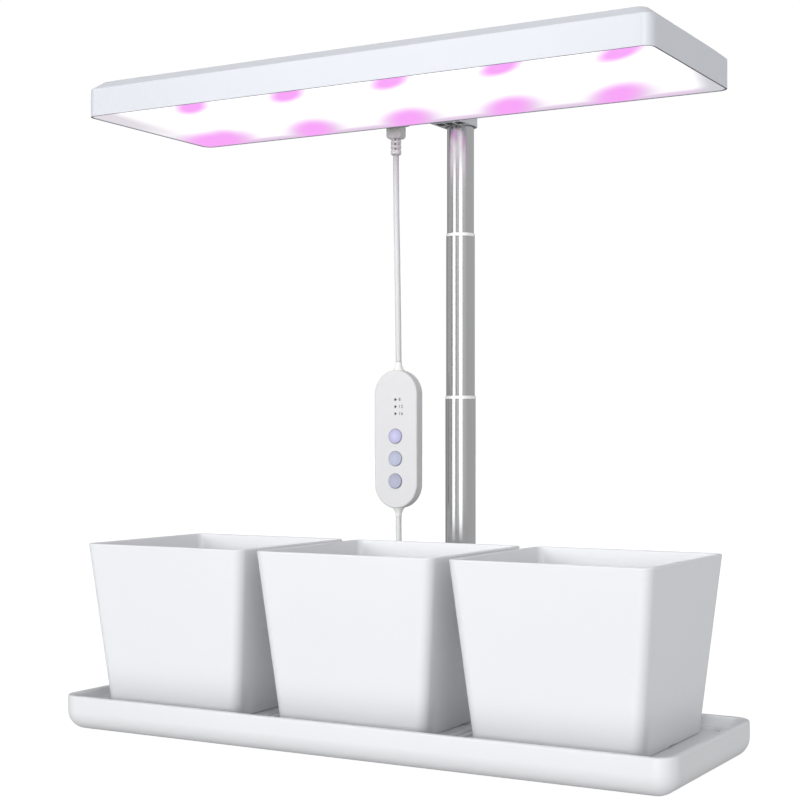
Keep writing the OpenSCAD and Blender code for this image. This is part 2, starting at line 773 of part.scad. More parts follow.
// Grip of the plug in the lamp, tapered to its strain relief, with the nose inside the inlet
module lamp_plug() {
    taper = 1.5;
    color("darkgray") translate([cord_top[0], cord_top[1], inlet_z]) {
        translate([-nose_w / 2, -nose_d / 2, -eps]) cube([nose_w, nose_d, nose_l]);
        translate([-lamp_plug_w / 2, -lamp_plug_d / 2, -lamp_plug_h + taper])
            cube([lamp_plug_w, lamp_plug_d, lamp_plug_h - taper]);
        hull() {
            translate([-lamp_plug_w / 2, -lamp_plug_d / 2, -lamp_plug_h + taper])
                cube([lamp_plug_w, lamp_plug_d, eps]);
            translate([-relief_r - 0.6, -relief_r, -lamp_plug_h]) cube([2 * relief_r + 1.2, 2 * relief_r, eps]);
        }
    }
}

// Ribbed strain relief under the plug's grip
module lamp_plug_relief() {
    top = inlet_z - lamp_plug_h;
    pitch = (top - cord_top[2] - relief_tip_h) / relief_ribs;
    groove = pitch / 4;
    color("gainsboro") translate([cord_top[0], cord_top[1], cord_top[2]]) rotate_extrude() {
        square([relief_r - 0.9, top - cord_top[2]]);
        square([relief_r - 0.4, relief_tip_h]);
        for (i = [0:relief_ribs - 1])
            translate([0, relief_tip_h + i * pitch + groove]) square([relief_r, pitch - groove]);
    }
}

// --- Controller ----------------------------------------------------------------------------

module in_controller() {
    translate([ctrl_x, cord_y, ctrl_z]) rotate([90, 0, 0]) children();
}

// Slot shape, w wide and h tall
module capsule(w, h) {
    square([w, h - w], center = true);
    for (y = [-1, 1]) translate([0, y * (h - w) / 2]) circle(w / 2);
}

// Slot-shaped block whose bottom edge is rounded
module soft_capsule(w, h, t, edge) {
    for (m = [0, 1])
        mirror([0, m, 0]) translate([0, (h - w) / 2, 0])
            rotate_extrude(angle = 180) soft_profile(t, w / 2, edge);
    for (m = [0, 1])
        mirror([m, 0, 0]) translate([0, (h - w) / 2, 0])
            rotate([90, 0, 0]) linear_extrude(h - w) soft_profile(t, w / 2, edge);
}

module at_buttons() {
    for (i = [0:2]) translate([0, button_top_y - i * button_pitch, 0]) children();
}

module at_indicators() {
    for (i = [0:2]) translate([0, indicator_top_y - i * indicator_pitch, 0]) children();
}

module at_posts() {
    for (y = [-1, 1]) translate([0, y * post_y, 0]) children();
}

module controller_front() {
    depth = ctrl_face - ctrl_seam;
    color("whitesmoke") in_controller() difference() {
        union() {
            difference() {
                translate([0, 0, ctrl_face]) mirror([0, 0, 1])
                    soft_capsule(ctrl_w, ctrl_h, depth, ctrl_front_r);
                translate([0, 0, ctrl_seam - eps]) linear_extrude(ctrl_inside - ctrl_seam + eps)
                    capsule(ctrl_w - 2 * ctrl_wall, ctrl_h - 2 * ctrl_wall);
            }
            at_posts() translate([0, 0, ctrl_board_top])
                cylinder(r = post_r, h = ctrl_inside - ctrl_board_top + ctrl_wall / 2);
        }
        at_buttons() cylinder(r = button_d / 2 + button_play, h = cut);
        at_indicators() cylinder(r = indicator_d / 2 + 0.1, h = cut);
        at_posts() translate([0, 0, ctrl_board_top - eps])
            cylinder(r = small_screw_r + 0.05, h = ctrl_inside - ctrl_board_top);
    }
}

module controller_back() {
    color("gainsboro") in_controller() difference() {
        translate([0, 0, -ctrl_face]) soft_capsule(ctrl_w, ctrl_h, ctrl_back_t, ctrl_back_r);
        translate([0, 0, ctrl_floor]) linear_extrude(ctrl_back_t)
            capsule(ctrl_w - 2 * ctrl_wall, ctrl_h - 2 * ctrl_wall);
        at_posts() translate([0, 0, -ctrl_face - eps]) {
            cylinder(r = small_screw_r + 0.1, h = ctrl_wall + 2 * eps);
            cylinder(r = small_head_r + 0.15, h = small_head_h + eps);
        }
    }
}

module controller_board() {
    color("seagreen") in_controller() difference() {
        translate([0, 0, ctrl_floor]) linear_extrude(ctrl_board_t) capsule(ctrl_board_w, ctrl_board_h);
        at_posts() translate([0, 0, ctrl_floor - eps])
            cylinder(r = small_screw_r + 0.1, h = ctrl_board_t + 2 * eps);
    }
}

module controller_switches() {
    color("dimgray") in_controller() at_buttons() {
        translate([-switch_w / 2, -switch_w / 2, ctrl_board_top]) cube([switch_w, switch_w, switch_body_h]);
        translate([0, 0, ctrl_board_top]) cylinder(r = switch_pin_r, h = switch_top - ctrl_board_top);
    }
}

module controller_indicators() {
    color("black") in_controller() at_indicators() translate([0, 0, ctrl_board_top])
        cylinder(r = indicator_d / 2, h = ctrl_face - ctrl_board_top);
}

module controller_screws() {
    color("silver") in_controller() at_posts() translate([0, 0, -ctrl_face + small_head_h]) {
        cylinder(r = small_screw_r, h = ctrl_inside - ctrl_board_top);
        translate([0, 0, -small_head_h]) cylinder(r = small_head_r, h = small_head_h);
    }
}

// Trumpet-shaped boot where the cord enters the controller, seated on its round end
module boot(tip_z) {
    reach = tip_z - ctrl_h / 2;
    rotate([-90, 0, 0]) rotate_extrude() difference() {
        translate([0, ctrl_h / 2 - seat_depth]) square([boot_r, reach + seat_depth]);
        translate([boot_tip_r + boot_arc_r, tip_z]) circle(boot_arc_r);
    }
}

module controller_boots() {
    reach = (ctrl_top - ctrl_bottom) / 2;
    color("gainsboro") in_controller() difference() {
        for (m = [0, 1]) mirror([0, m, 0]) boot(reach);
        translate([0, 0, -ctrl_t]) linear_extrude(2 * ctrl_t) capsule(ctrl_w, ctrl_h);
    }
}

// Button cap with a rounded edge and a flange behind the face
module button(i) {
    r = button_d / 2;
    edge = button_proud - 0.1;
    shoulder = ctrl_face + button_proud - edge;
    color("lavender") in_controller()
        translate([0, button_top_y - i * button_pitch, 0]) rotate_extrude() {
            translate([0, button_back]) square([button_flange_r, button_flange_t]);
            translate([0, button_back]) square([r, shoulder - button_back]);
            translate([0, shoulder]) square([r - edge, edge]);
            translate([r - edge, shoulder]) circle(edge);
        }
}

module button_top() { button(0); }
module button_centre() { button(1); }
module button_bottom() { button(2); }

// --- Cords ---------------------------------------------------------------------------------

function unit(v) = v / norm(v);

function along(points, i) = unit(points[min(i + 1, len(points) - 1)] - points[max(i - 1, 0)]);

// Ring of points square to the route; the routes never run along Y, so Y fixes the ring's turn
function cord_ring(points, i) = let (
    t = along(points, i),
    side = unit(cross(t, [0, 1, 0])),
    up = cross(side, t)
) [
    for (k = [0:cord_sides - 1])
        points[i] + cord_d / 2 * (cos(360 * k / cord_sides) * side + sin(360 * k / cord_sides) * up)
];

module cord_tube(points) {
    n = cord_sides;
    last = len(points) - 1;
    walls = [
        for (i = [0:last - 1], j = [0:n - 1])
            let (a = i * n + j, b = i * n + (j + 1) % n)
            each [[a, b, a + n], [b, b + n, a + n]]
    ];
    color("gainsboro") polyhedron(
        points = [for (i = [0:last]) each cord_ring(points, i)],
        faces = concat([[for (j = [n - 1:-1:0]) j]], walls, [[for (j = [0:n - 1]) last * n + j]])
    );
}

module cord_upper() { cord_tube(cord_upper_points); }
module cord_lower() { cord_tube(cord_lower_points); }
module cord_tail() { cord_tube(cord_tail_points); }

// The outer shape of the coil: a ring of oblong section with its edges rounded
module cord_coil() {
    color("gainsboro") translate([coil_x, coil_y, coil_lift]) rotate_extrude()
        translate([coil_d / 2, coil_h / 2]) rounded_rect(coil_w, coil_h, cord_d / 2);
}

// Flat band round the coil's section
module cord_tie() {
    sweep = tie_w / (coil_d / 2) * 180 / PI;
    color("dimgray") translate([coil_x, coil_y, coil_lift]) rotate([0, 0, tie_angle - sweep / 2])
        rotate_extrude(angle = sweep) translate([coil_d / 2, coil_h / 2]) difference() {
            rounded_rect(coil_w + 2 * coil_lift, coil_h + 2 * coil_lift, cord_d / 2);
            rounded_rect(coil_w + 2 * tie_play, coil_h + 2 * tie_play, cord_d / 2 - tie_t / 2);
        }
}

// Grip of the USB plug, with a short tapered neck to the cord
module usb_plug() {
    neck = 5;
    color("gainsboro") translate(usb_at) {
        rotate([0, 90, 0]) cylinder(r1 = cord_d / 2 + 0.3, r2 = usb_h / 2 - 0.4, h = neck + eps);
        translate([neck, 0, 0]) rotate([90, 0, 90]) linear_extrude(usb_l)
            rounded_rect(usb_w, usb_h, usb_h / 3);
    }
}

module usb_shell() {
    shell_w = 12;
    shell_h = 4.5;
    shell_t = 0.4;
    color("silver") translate([usb_at[0] + 5 + usb_l, usb_at[1], usb_at[2]]) difference() {
        translate([0, -shell_w / 2, -shell_h / 2]) cube([12, shell_w, shell_h]);
        translate([1, -shell_w / 2 + shell_t, 0]) cube([12, shell_w - 2 * shell_t, shell_h / 2 - shell_t]);
    }
}

tray();
socket_screw();
foot_plug();
tube_lower();
mouth_ring_lower();
tube_middle();
mouth_ring_middle();
guide_middle();
tube_upper();
guide_upper();
head_plug();
head_screw();
lamp_housing();
lamp_diffuser();
led_board();
board_screws();
leds_white();
leds_magenta();
board_connector();
lamp_leads();
lamp_bracket();
bracket_screws();
power_inlet();
lamp_plug();
lamp_plug_relief();
pot_left();
pot_middle();
pot_right();
controller_front();
controller_back();
controller_board();
controller_switches();
controller_indicators();
controller_screws();
controller_boots();
button_top();
button_centre();
button_bottom();
cord_upper();
cord_lower();
cord_coil();
cord_tail();
cord_tie();
usb_plug();
usb_shell();
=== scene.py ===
"""Countertop herb garden: three square pots in a drip tray under a grow light on a telescopic pole.

Each class models one sub-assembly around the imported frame, in metres, +Z up and +Y to the back.
"""

from __future__ import annotations

import logging
import math
from contextlib import contextmanager
from dataclasses import dataclass
from enum import Enum
from typing import Callable, Iterator, Sequence

import bmesh
import bpy
from mathutils import Matrix, Vector

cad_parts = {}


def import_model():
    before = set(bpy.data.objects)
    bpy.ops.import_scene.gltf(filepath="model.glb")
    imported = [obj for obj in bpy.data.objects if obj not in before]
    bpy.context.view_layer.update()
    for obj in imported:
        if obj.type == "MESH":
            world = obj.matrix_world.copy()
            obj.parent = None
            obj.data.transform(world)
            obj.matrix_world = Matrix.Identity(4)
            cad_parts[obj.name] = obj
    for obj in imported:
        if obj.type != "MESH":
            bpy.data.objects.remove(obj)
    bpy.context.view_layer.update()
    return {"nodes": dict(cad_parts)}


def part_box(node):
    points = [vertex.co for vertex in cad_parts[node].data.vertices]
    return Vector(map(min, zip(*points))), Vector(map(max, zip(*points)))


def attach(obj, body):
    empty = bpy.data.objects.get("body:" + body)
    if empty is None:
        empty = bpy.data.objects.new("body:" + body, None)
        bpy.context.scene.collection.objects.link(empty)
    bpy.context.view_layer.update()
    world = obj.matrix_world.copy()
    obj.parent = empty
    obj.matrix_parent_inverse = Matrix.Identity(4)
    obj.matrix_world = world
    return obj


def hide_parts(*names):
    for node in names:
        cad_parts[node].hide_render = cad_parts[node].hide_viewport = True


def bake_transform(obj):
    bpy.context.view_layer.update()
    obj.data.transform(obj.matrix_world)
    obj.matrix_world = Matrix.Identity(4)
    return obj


LOG = logging.getLogger("herb_garden")
MM = 0.001
TOUCH = 1e-7
WELD = 2e-7
OVERCUT = 1 * MM
SMOOTH_ANGLE = math.radians(32)
Colour = tuple[float, float, float]
Point = tuple[float, float, float]
Span = tuple[float, float]


# --- Shader arithmetic ---------------------------------------------------------------------


def _math(operation: str, swapped: bool = False) -> Callable[..., Signal]:
    """The method of a signal that adds one Math node.

    Args:
        operation: the node's operation.
        swapped: puts the other value first.

    Returns:
        The method; its other value is zero where none is given.
    """

    def method(self: Signal, other: object = 0.0) -> Signal:
        """Adds the node and returns its signal."""
        first, second = (other, self) if swapped else (self, other)
        return self.graph.node("ShaderNodeMath", {"operation": operation}, {0: first, 1: second})

    return method


@dataclass(frozen=True)
class Signal:
    """An output socket that takes part in Python arithmetic; each expression adds its Math node."""

    graph: Graph
    socket: bpy.types.NodeSocket

    __add__, __radd__ = _math("ADD"), _math("ADD", swapped=True)
    __sub__, __rsub__ = _math("SUBTRACT"), _math("SUBTRACT", swapped=True)
    __mul__, __rmul__ = _math("MULTIPLY"), _math("MULTIPLY", swapped=True)
    __truediv__, __pow__ = _math("DIVIDE"), _math("POWER")
    maximum, minimum = _math("MAXIMUM"), _math("MINIMUM")
    rounded, absolute = _math("ROUND"), _math("ABSOLUTE")

    def clamped(self) -> Signal:
        """The value kept between 0 and 1."""
        return self.graph.node("ShaderNodeClamp", {}, {"Value": self, "Min": 0.0, "Max": 1.0})

    def step_up(self, low: float, high: float) -> Signal:
        """A smooth step from 0 at low to 1 at high."""
        inputs = {"Value": self, "From Min": low, "From Max": high}
        return self.graph.node("ShaderNodeMapRange", {"interpolation_type": "SMOOTHSTEP"}, inputs)


class Graph:
    """One material's node graph, with a single Principled surface."""

    def __init__(self, name: str) -> None:
        """Makes an empty material.

        Args:
            name: the material's name.
        """
        self.material = bpy.data.materials.new(name)
        self.material.use_nodes = True
        self.tree = self.material.node_tree
        self.tree.nodes.clear()

    def node(
        self,
        kind: str,
        settings: dict[str, object],
        inputs: dict[str | int, object],
        output: str | int = 0,
    ) -> Signal | None:
        """Adds a node of any kind.

        Args:
            kind: Blender's name of the node type.
            settings: the node's own settings.
            inputs: values or signals of its sockets, by name or number.
            output: the socket that the signal leaves by.

        Returns:
            The signal of that output, or nothing for the node that ends the graph.
        """
        made = self.tree.nodes.new(kind)
        for key, value in settings.items():
            setattr(made, key, value)
        for key, value in inputs.items():
            if isinstance(value, Signal):
                self.tree.links.new(value.socket, made.inputs[key])
            else:
                made.inputs[key].default_value = value
        return Signal(self, made.outputs[output]) if made.outputs else None

    def place(self) -> Signal:
        """Object coordinates, which are the frame's own metres."""
        return self.node("ShaderNodeTexCoord", {}, {}, "Object")

    def scaled(self, factors: Point) -> Signal:
        """Object coordinates stretched per axis."""
        return self.node("ShaderNodeMapping", {}, {"Vector": self.place(), "Scale": factors})

    def axes(self) -> tuple[Signal, Signal, Signal]:
        """Object coordinates as separate signals.

        Returns:
            X, Y and Z in metres.
        """
        split = self.node("ShaderNodeSeparateXYZ", {}, {"Vector": self.place()})
        outputs = split.socket.node.outputs
        return tuple(Signal(self, outputs[axis]) for axis in ("X", "Y", "Z"))

    def noise(self, scale: float, detail: float = 2.0, vector: Signal | None = None) -> Signal:
        """Noise from 0 to 1, repeated scale times in a metre, with as many octaves as detail."""
        inputs = {"Vector": vector or self.place(), "Scale": scale, "Detail": detail}
        return self.node("ShaderNodeTexNoise", {}, inputs, "Fac")

    def mixed(self, share: Signal, first: object, second: object) -> Signal:
        """A blend of two colours.

        Args:
            share: how much of the second colour.
            first: a colour or a signal.
            second: a colour or a signal.

        Returns:
            The blend.
        """
        colours = [c if isinstance(c, Signal) else (*c, 1.0) for c in (first, second)]
        inputs = {0: share, 6: colours[0], 7: colours[1]}
        return self.node("ShaderNodeMix", {"data_type": "RGBA"}, inputs, 2)

    def bump(self, height: Signal, depth: float, strength: float = 1.0) -> Signal:
        """A normal that follows a height from 0 to 1, with the relief's depth in metres."""
        inputs = {"Height": height, "Distance": depth, "Strength": strength}
        return self.node("ShaderNodeBump", {}, inputs)

    def surface(self, **values: object) -> bpy.types.Material:
        """Ends the graph in a Principled surface.

        Args:
            values: its sockets, with _ for a space in their names.

        Returns:
            The finished material.
        """
        inputs = {}
        for key, value in values.items():
            is_colour = isinstance(value, tuple) and not key.endswith("Radius")
            inputs[key.replace("_", " ")] = (*value, 1.0) if is_colour else value
        shader = self.node("ShaderNodeBsdfPrincipled", {}, inputs)
        self.node("ShaderNodeOutputMaterial", {}, {"Surface": shader})
        return self.material


# --- Finishes ------------------------------------------------------------------------------


def shaded(tint: Colour, share: float) -> Colour:
    """A tint made darker or lighter, each channel at most full."""
    return tuple(min(c * share, 1.0) for c in tint)


@dataclass(frozen=True)
class Finish:
    """A finish by name; its material is made once."""

    name: str

    def graph(self) -> Graph:
        """An empty graph for this finish."""
        return Graph(self.name)

    def compose(self) -> bpy.types.Material:
        """Makes the material; each kind of finish says how."""
        raise NotImplementedError

    def material(self) -> bpy.types.Material:
        """The finish's material, made at its first use."""
        return bpy.data.materials.get(self.name) or self.compose()


@dataclass(frozen=True)
class MouldedPlastic(Finish):
    """Opaque injection-moulded plastic with a fine texture from its mould."""

    tint: Colour
    roughness: float = 0.34
    grain: float = 0.012
    coat: float = 0.12
    # foot and the fields after it paint a contact shadow: painted shade from the foot upward,
    # strongest on the front face, weaker on the sides and back.
    foot: Span | None = None
    foot_shadow_front: Span = (-0.056, -0.048)
    foot_shadow_share: float = 0.29
    foot_shadow_side_loss: float = 0.6

    def compose(self) -> bpy.types.Material:
        """Faint flow marks, a fine grain and handling marks, and painted shade at the foot if it
        has one.

        Returns:
            The material.
        """
        g = self.graph()
        flow, handling = g.noise(9.0, 3.0), g.noise(42.0, 4.0)
        grain, waviness = g.noise(2600.0, 2.0), g.noise(60.0, 1.0)
        colour = g.mixed(flow, shaded(self.tint, 0.965), self.tint)
        # Painted shade: a contact shadow that fades from the foot upward, with a share of it lost
        # on the sides and back.
        if self.foot:
            _, y, z = g.axes()
            shadow_fade = 1.0 - z.step_up(*self.foot)
            shadow_at_front = 1.0 - y.step_up(*self.foot_shadow_front) * self.foot_shadow_side_loss
            colour = g.mixed(shadow_fade * shadow_fade * shadow_at_front, colour, shaded(self.tint, 1 - self.foot_shadow_share))
        return g.surface(
            Base_Color=colour,
            Roughness=handling * 0.08 + (self.roughness - 0.04),
            Coat_Weight=self.coat,
            Coat_Roughness=0.12,
            Normal=g.bump(grain * self.grain + waviness * 0.25, 0.00012),
        )


@dataclass(frozen=True)
class DrawnMetal(Finish):
    """Metal tube or sheet with fine lines along one axis."""

    tint: Colour
    roughness: float = 0.2
    line_stretch: Point = (900.0, 900.0, 1.5)

    def compose(self) -> bpy.types.Material:
        """Long faint lines in gloss and relief, and a slow change of shade.

        Returns:
            The material.
        """
        g = self.graph()
        lines = g.noise(1.0, 3.0, g.scaled(self.line_stretch))
        cloud = g.noise(16.0, 2.0)
        return g.surface(
            Base_Color=g.mixed(lines * 0.5 + cloud * 0.5, shaded(self.tint, 0.93), self.tint),
            Metallic=1.0,
            Roughness=lines * 0.07 + (self.roughness - 0.035),
            Normal=g.bump(lines, 0.000004, 0.2),
        )


@dataclass(frozen=True)
class TurnedMetal(Finish):
    """Polished small metal with turning marks."""

    tint: Colour
    roughness: float = 0.14
    metallic: float = 1.0

    def compose(self) -> bpy.types.Material:
        """Fine rings in gloss with a few dull patches.

        Returns:
            The material.
        """
        g = self.graph()
        wear = g.noise(700.0, 3.0)
        rings = g.noise(1.0, 2.0, g.scaled((300.0, 300.0, 5200.0)))
        return g.surface(
            Base_Color=g.mixed(wear, shaded(self.tint, 0.9), self.tint),
            Metallic=self.metallic,
            Roughness=wear * 0.12 + (self.roughness - 0.05),
            Normal=g.bump(rings, 0.000006, 0.4),
        )


@dataclass(frozen=True)
class SoftRubber(Finish):
    """Soft plastic of cords, boots and reliefs: satin, with a faint orange-peel skin."""

    tint: Colour
    roughness: float = 0.46
    peel: float = 0.00003

    def compose(self) -> bpy.types.Material:
        """An orange-peel relief and slow changes of gloss along the piece.

        Returns:
            The material.
        """
        g = self.graph()
        peel = g.noise(1500.0, 2.0)
        dust = g.noise(75.0, 4.0)
        return g.surface(
            Base_Color=g.mixed(dust, shaded(self.tint, 0.94), self.tint),
            Roughness=dust * 0.12 + (self.roughness - 0.06),
            Normal=g.bump(peel, self.peel, 0.6),
        )


@dataclass(frozen=True)
class SiliconeKey(Finish):
    """Translucent silicone of a button, with a painted glow that lightens its middle."""

    tint: Colour
    painted_glow_tint: Colour
    centre: Span
    reach: float = 0.0036

    def compose(self) -> bpy.types.Material:
        """A round gradient over the key: a painted glow, lightest at its middle.

        Returns:
            The material.
        """
        g = self.graph()
        x, _, z = g.axes()
        # Painted glow: the colour turns to the lighter tint towards the key's middle.
        across, up = x - self.centre[0], z - self.centre[1]
        away = (across * across + up * up) ** 0.5
        share = (1.0 - away / self.reach).clamped()
        skin = g.noise(900.0, 2.0)
        return g.surface(
            Base_Color=g.mixed(share, self.tint, self.painted_glow_tint),
            Roughness=skin * 0.08 + 0.36,
            Subsurface_Weight=0.15,
            Subsurface_Radius=(0.0012, 0.0010, 0.0014),
            Subsurface_Scale=1.0,
            Normal=g.bump(skin, 0.00002, 0.5),
        )


@dataclass(frozen=True)
class GlowRow:
    """A row of magenta glows behind the diffuser, each a leaning oval."""

    first_x: float
    middle_y: float
    pitch: float
    lean: float
    half_width: float
    reach_front: float
    reach_back: float
    softness: float = 0.75
    count: int = 5


@dataclass(frozen=True)
class LitDiffuser(Finish):
    """Frosted sheet, lit white from behind with magenta glows along both long edges."""

    rows: tuple[GlowRow, ...]
    haze: GlowRow
    white: Colour = (1.0, 0.985, 1.0)
    magenta: Colour = (0.785, 0.305, 0.785)
    lilac: Colour = (0.63, 0.50, 0.65)
    pearl: Colour = (0.63, 0.59, 0.64)
    dusk: Colour = (0.52, 0.51, 0.55)
    strength: float = 1.18
    back_band: Span = (0.028, 0.041)
    left_band: Span = (0.141, 0.165)
    left_rise: float = 12.0
    left_least: float = 0.62
    right_line: float = 0.1515
    right_pivot: float = 0.045
    right_slope: float = 0.26
    right_band: Span = (-0.002, 0.012)

    def _row_mask(self, x: Signal, y: Signal, row: GlowRow) -> Signal:
        """How strongly one row glows at a place.

        Args:
            x: the place along the lamp.
            y: the place across it.
            row: the row.

        Returns:
            From 0 to 1.
        """
        turns = (x + (y - row.middle_y) * row.lean - row.first_x) / row.pitch
        whole = turns.rounded().maximum(0.0).minimum(row.count - 1.0)
        along = (turns - whole) * (row.pitch / row.half_width)
        ahead = (row.middle_y - y) / row.reach_front
        behind = (y - row.middle_y) / row.reach_back
        across = ahead.maximum(behind)
        return (1.1 - (along * along + across * across) ** 0.5).step_up(0.0, row.softness)

    def compose(self) -> bpy.types.Material:
        """Glows over white, a lilac band at the back edge and duller ends.

        Returns:
            The material.
        """
        g = self.graph()
        x, y, _ = g.axes()
        glow = self._row_mask(x, y, self.rows[0])
        for row in self.rows[1:]:
            glow = glow.maximum(self._row_mask(x, y, row))
        back = y.step_up(*self.back_band).maximum(self._row_mask(x, y, self.haze))
        reach = y.absolute() * self.left_rise + self.left_least
        left = (x * -1.0).step_up(*self.left_band) * reach
        past = x - self.right_line - (self.right_pivot - y) * self.right_slope
        cloud = g.noise(30.0, 2.0) * 0.12 + 0.93
        colour = g.mixed(back, self.white, self.lilac)
        colour = g.mixed(left.clamped(), colour, self.pearl)
        colour = g.mixed((glow * cloud).clamped(), colour, self.magenta)
        colour = g.mixed(past.step_up(*self.right_band), colour, self.dusk)
        frost = g.noise(3000.0, 2.0)
        return g.surface(
            Base_Color=(0.02, 0.02, 0.022),
            Roughness=frost * 0.1 + 0.5,
            Specular_IOR_Level=0.1,
            Emission_Color=colour,
            Emission_Strength=self.strength,
            Normal=g.bump(frost, 0.00003, 0.4),
        )


@dataclass(frozen=True)
class LensDie(Finish):
    """LED: a lens over its die, glowing."""

    tint: Colour
    glow: float

    def compose(self) -> bpy.types.Material:
        """A softly mottled lit lens.

        Returns:
            The material.
        """
        g = self.graph()
        return g.surface(
            Base_Color=g.mixed(g.noise(1800.0, 1.0), shaded(self.tint, 0.8), self.tint),
            Roughness=0.2,
            Emission_Color=self.tint,
            Emission_Strength=self.glow,
        )


@dataclass(frozen=True)
class SolderMask(Finish):
    """Circuit board: solder mask with faint tracks."""

    tint: Colour

    def compose(self) -> bpy.types.Material:
        """Tracks as bands of a brick-like pattern under the mask.

        Returns:
            The material.
        """
        g = self.graph()
        inputs = {"Vector": g.place(), "Scale": 180.0, "Mortar Size": 0.06}
        tracks = g.node("ShaderNodeTexBrick", {}, inputs, "Fac")
        return g.surface(
            Base_Color=g.mixed(tracks * 0.6, self.tint, shaded(self.tint, 1.5)),
            Roughness=g.noise(300.0) * 0.1 + 0.3,
            Normal=g.bump(tracks, 0.00003, 0.5),
        )


@dataclass(frozen=True)
class HookAndLoop(Finish):
    """Woven hook-and-loop band."""

    tint: Colour

    def compose(self) -> bpy.types.Material:
        """A fuzzy weave in colour and relief.

        Returns:
            The material.
        """
        g = self.graph()
        fuzz = g.noise(2600.0, 3.0)
        settings = {"wave_type": "BANDS", "bands_direction": "DIAGONAL"}
        inputs = {"Vector": g.place(), "Scale": 420.0, "Distortion": 2.0, "Detail": 2.0}
        weave = g.node("ShaderNodeTexWave", settings, inputs, "Fac")
        cloth = fuzz * 0.6 + weave * 0.4
        return g.surface(
            Base_Color=g.mixed(cloth, shaded(self.tint, 0.55), self.tint),
            Roughness=0.92,
            Sheen_Weight=0.3,
            Normal=g.bump(cloth, 0.00025),
        )


# The pots' foot gets painted shade: a contact shadow near the tray, strongest on the front.
POT_PLASTIC = MouldedPlastic("pot_white_plastic", (0.735, 0.745, 0.765), 0.36, foot=(0.015, 0.046))
TRAY_PLASTIC = MouldedPlastic("tray_white_plastic", (0.705, 0.71, 0.725), 0.34)
LAMP_PLASTIC = MouldedPlastic("lamp_white_plastic", (0.615, 0.635, 0.675), 0.32)
BRACKET_PLASTIC = MouldedPlastic("bracket_grey_plastic", (0.70, 0.71, 0.73), 0.36)
PLUG_PLASTIC = MouldedPlastic("plug_grey_plastic", (0.67, 0.69, 0.645), 0.42, grain=0.03)
CONTROLLER_PLASTIC = MouldedPlastic("controller_white_plastic", (0.60, 0.60, 0.605), 0.34)
USB_PLASTIC = MouldedPlastic("usb_white_plastic", (0.74, 0.75, 0.77), 0.38)
GUIDE_PLASTIC = MouldedPlastic("guide_dark_plastic", (0.05, 0.05, 0.055), 0.45)
SWITCH_PLASTIC = MouldedPlastic("switch_black_plastic", (0.03, 0.03, 0.032), 0.4)
CONNECTOR_PLASTIC = MouldedPlastic("connector_ivory_plastic", (0.74, 0.70, 0.56), 0.4)
INDICATOR_PLASTIC = MouldedPlastic("indicator_dark_lens", (0.035, 0.035, 0.045), 0.2)
PRINT_INK = MouldedPlastic("print_grey_ink", (0.06, 0.06, 0.08), 0.5)
# Painted shade: dark grey on the down-facing lower edge of the lamp housing.
LAMP_LIP_SHADE = MouldedPlastic("lamp_lip_painted_shade", (0.16, 0.16, 0.18), 0.5)
# Painted shade for hollows: the bracket's pockets and the relief's slits.
HOLLOW_SHADE = MouldedPlastic("hollow_painted_shade", (0.20, 0.20, 0.21), 0.6)
TUBE_METAL = DrawnMetal("tube_satin_steel", (0.57, 0.57, 0.57))
RING_METAL = TurnedMetal("ring_bright_steel", (0.95, 0.95, 0.95), 0.3, 0.4)
SCREW_METAL = TurnedMetal("screw_steel", (0.66, 0.66, 0.67))
USB_METAL = DrawnMetal("usb_shell_steel", (0.70, 0.70, 0.71), 0.2, (6.0, 900.0, 900.0))
CORD_RUBBER = SoftRubber("cord_white_rubber", (0.62, 0.635, 0.63))
RELIEF_RUBBER = SoftRubber("relief_white_rubber", (0.755, 0.775, 0.745), 0.42)
LEAD_RUBBER = SoftRubber("lead_red_rubber", (0.42, 0.03, 0.03))
TIE_BAND = HookAndLoop("tie_dark_band", (0.10, 0.10, 0.105))
LAMP_BOARD = SolderMask("lamp_board_white", (0.78, 0.78, 0.78))
CONTROL_BOARD = SolderMask("controller_board_green", (0.02, 0.12, 0.05))
WHITE_LENS = LensDie("led_white_lens", (1.0, 0.93, 0.72), 1.5)
MAGENTA_LENS = LensDie("led_magenta_lens", (1.0, 0.15, 0.85), 1.5)


class ButtonKey(Enum):
    """The controller's buttons, from the top."""

    TOP = "button_top"
    CENTRE = "button_centre"
    BOTTOM = "button_bottom"


BUTTON_FINISHES: dict[ButtonKey, Finish] = {
    ButtonKey.TOP: SiliconeKey(
        "key_lavender", (0.40, 0.39, 0.57), (0.56, 0.54, 0.78), centre=(-0.0352, 0.1680)
    ),
    ButtonKey.CENTRE: SiliconeKey(
        "key_mauve_grey", (0.38, 0.40, 0.52), (0.45, 0.47, 0.60), centre=(-0.0352, 0.1544)
    ),
    ButtonKey.BOTTOM: SiliconeKey(
        "key_blue_grey", (0.35, 0.36, 0.47), (0.41, 0.42, 0.53), centre=(-0.0352, 0.1410)
    ),
}


# --- Mesh tools ----------------------------------------------------------------------------


def link(name: str, data: bpy.types.ID) -> bpy.types.Object:
    """Makes an object and puts it in the scene.

    Args:
        name: its name.
        data: its mesh, curve, light or camera.

    Returns:
        The object.
    """
    obj = bpy.data.objects.new(name, data)
    bpy.context.scene.collection.objects.link(obj)
    return obj


def evaluated(obj: bpy.types.Object) -> bpy.types.Mesh:
    """A new mesh of an object with its modifiers or its curve's settings applied."""
    graph = bpy.context.evaluated_depsgraph_get()
    return bpy.data.meshes.new_from_object(obj.evaluated_get(graph))


def mesh_of_curve(curve: bpy.types.Curve) -> bpy.types.Mesh:
    """Turns a curve or text into a mesh.

    Args:
        curve: the curve.

    Returns:
        The mesh.
    """
    helper = link(curve.name, curve)
    mesh = evaluated(helper)
    bpy.data.objects.remove(helper)
    return mesh


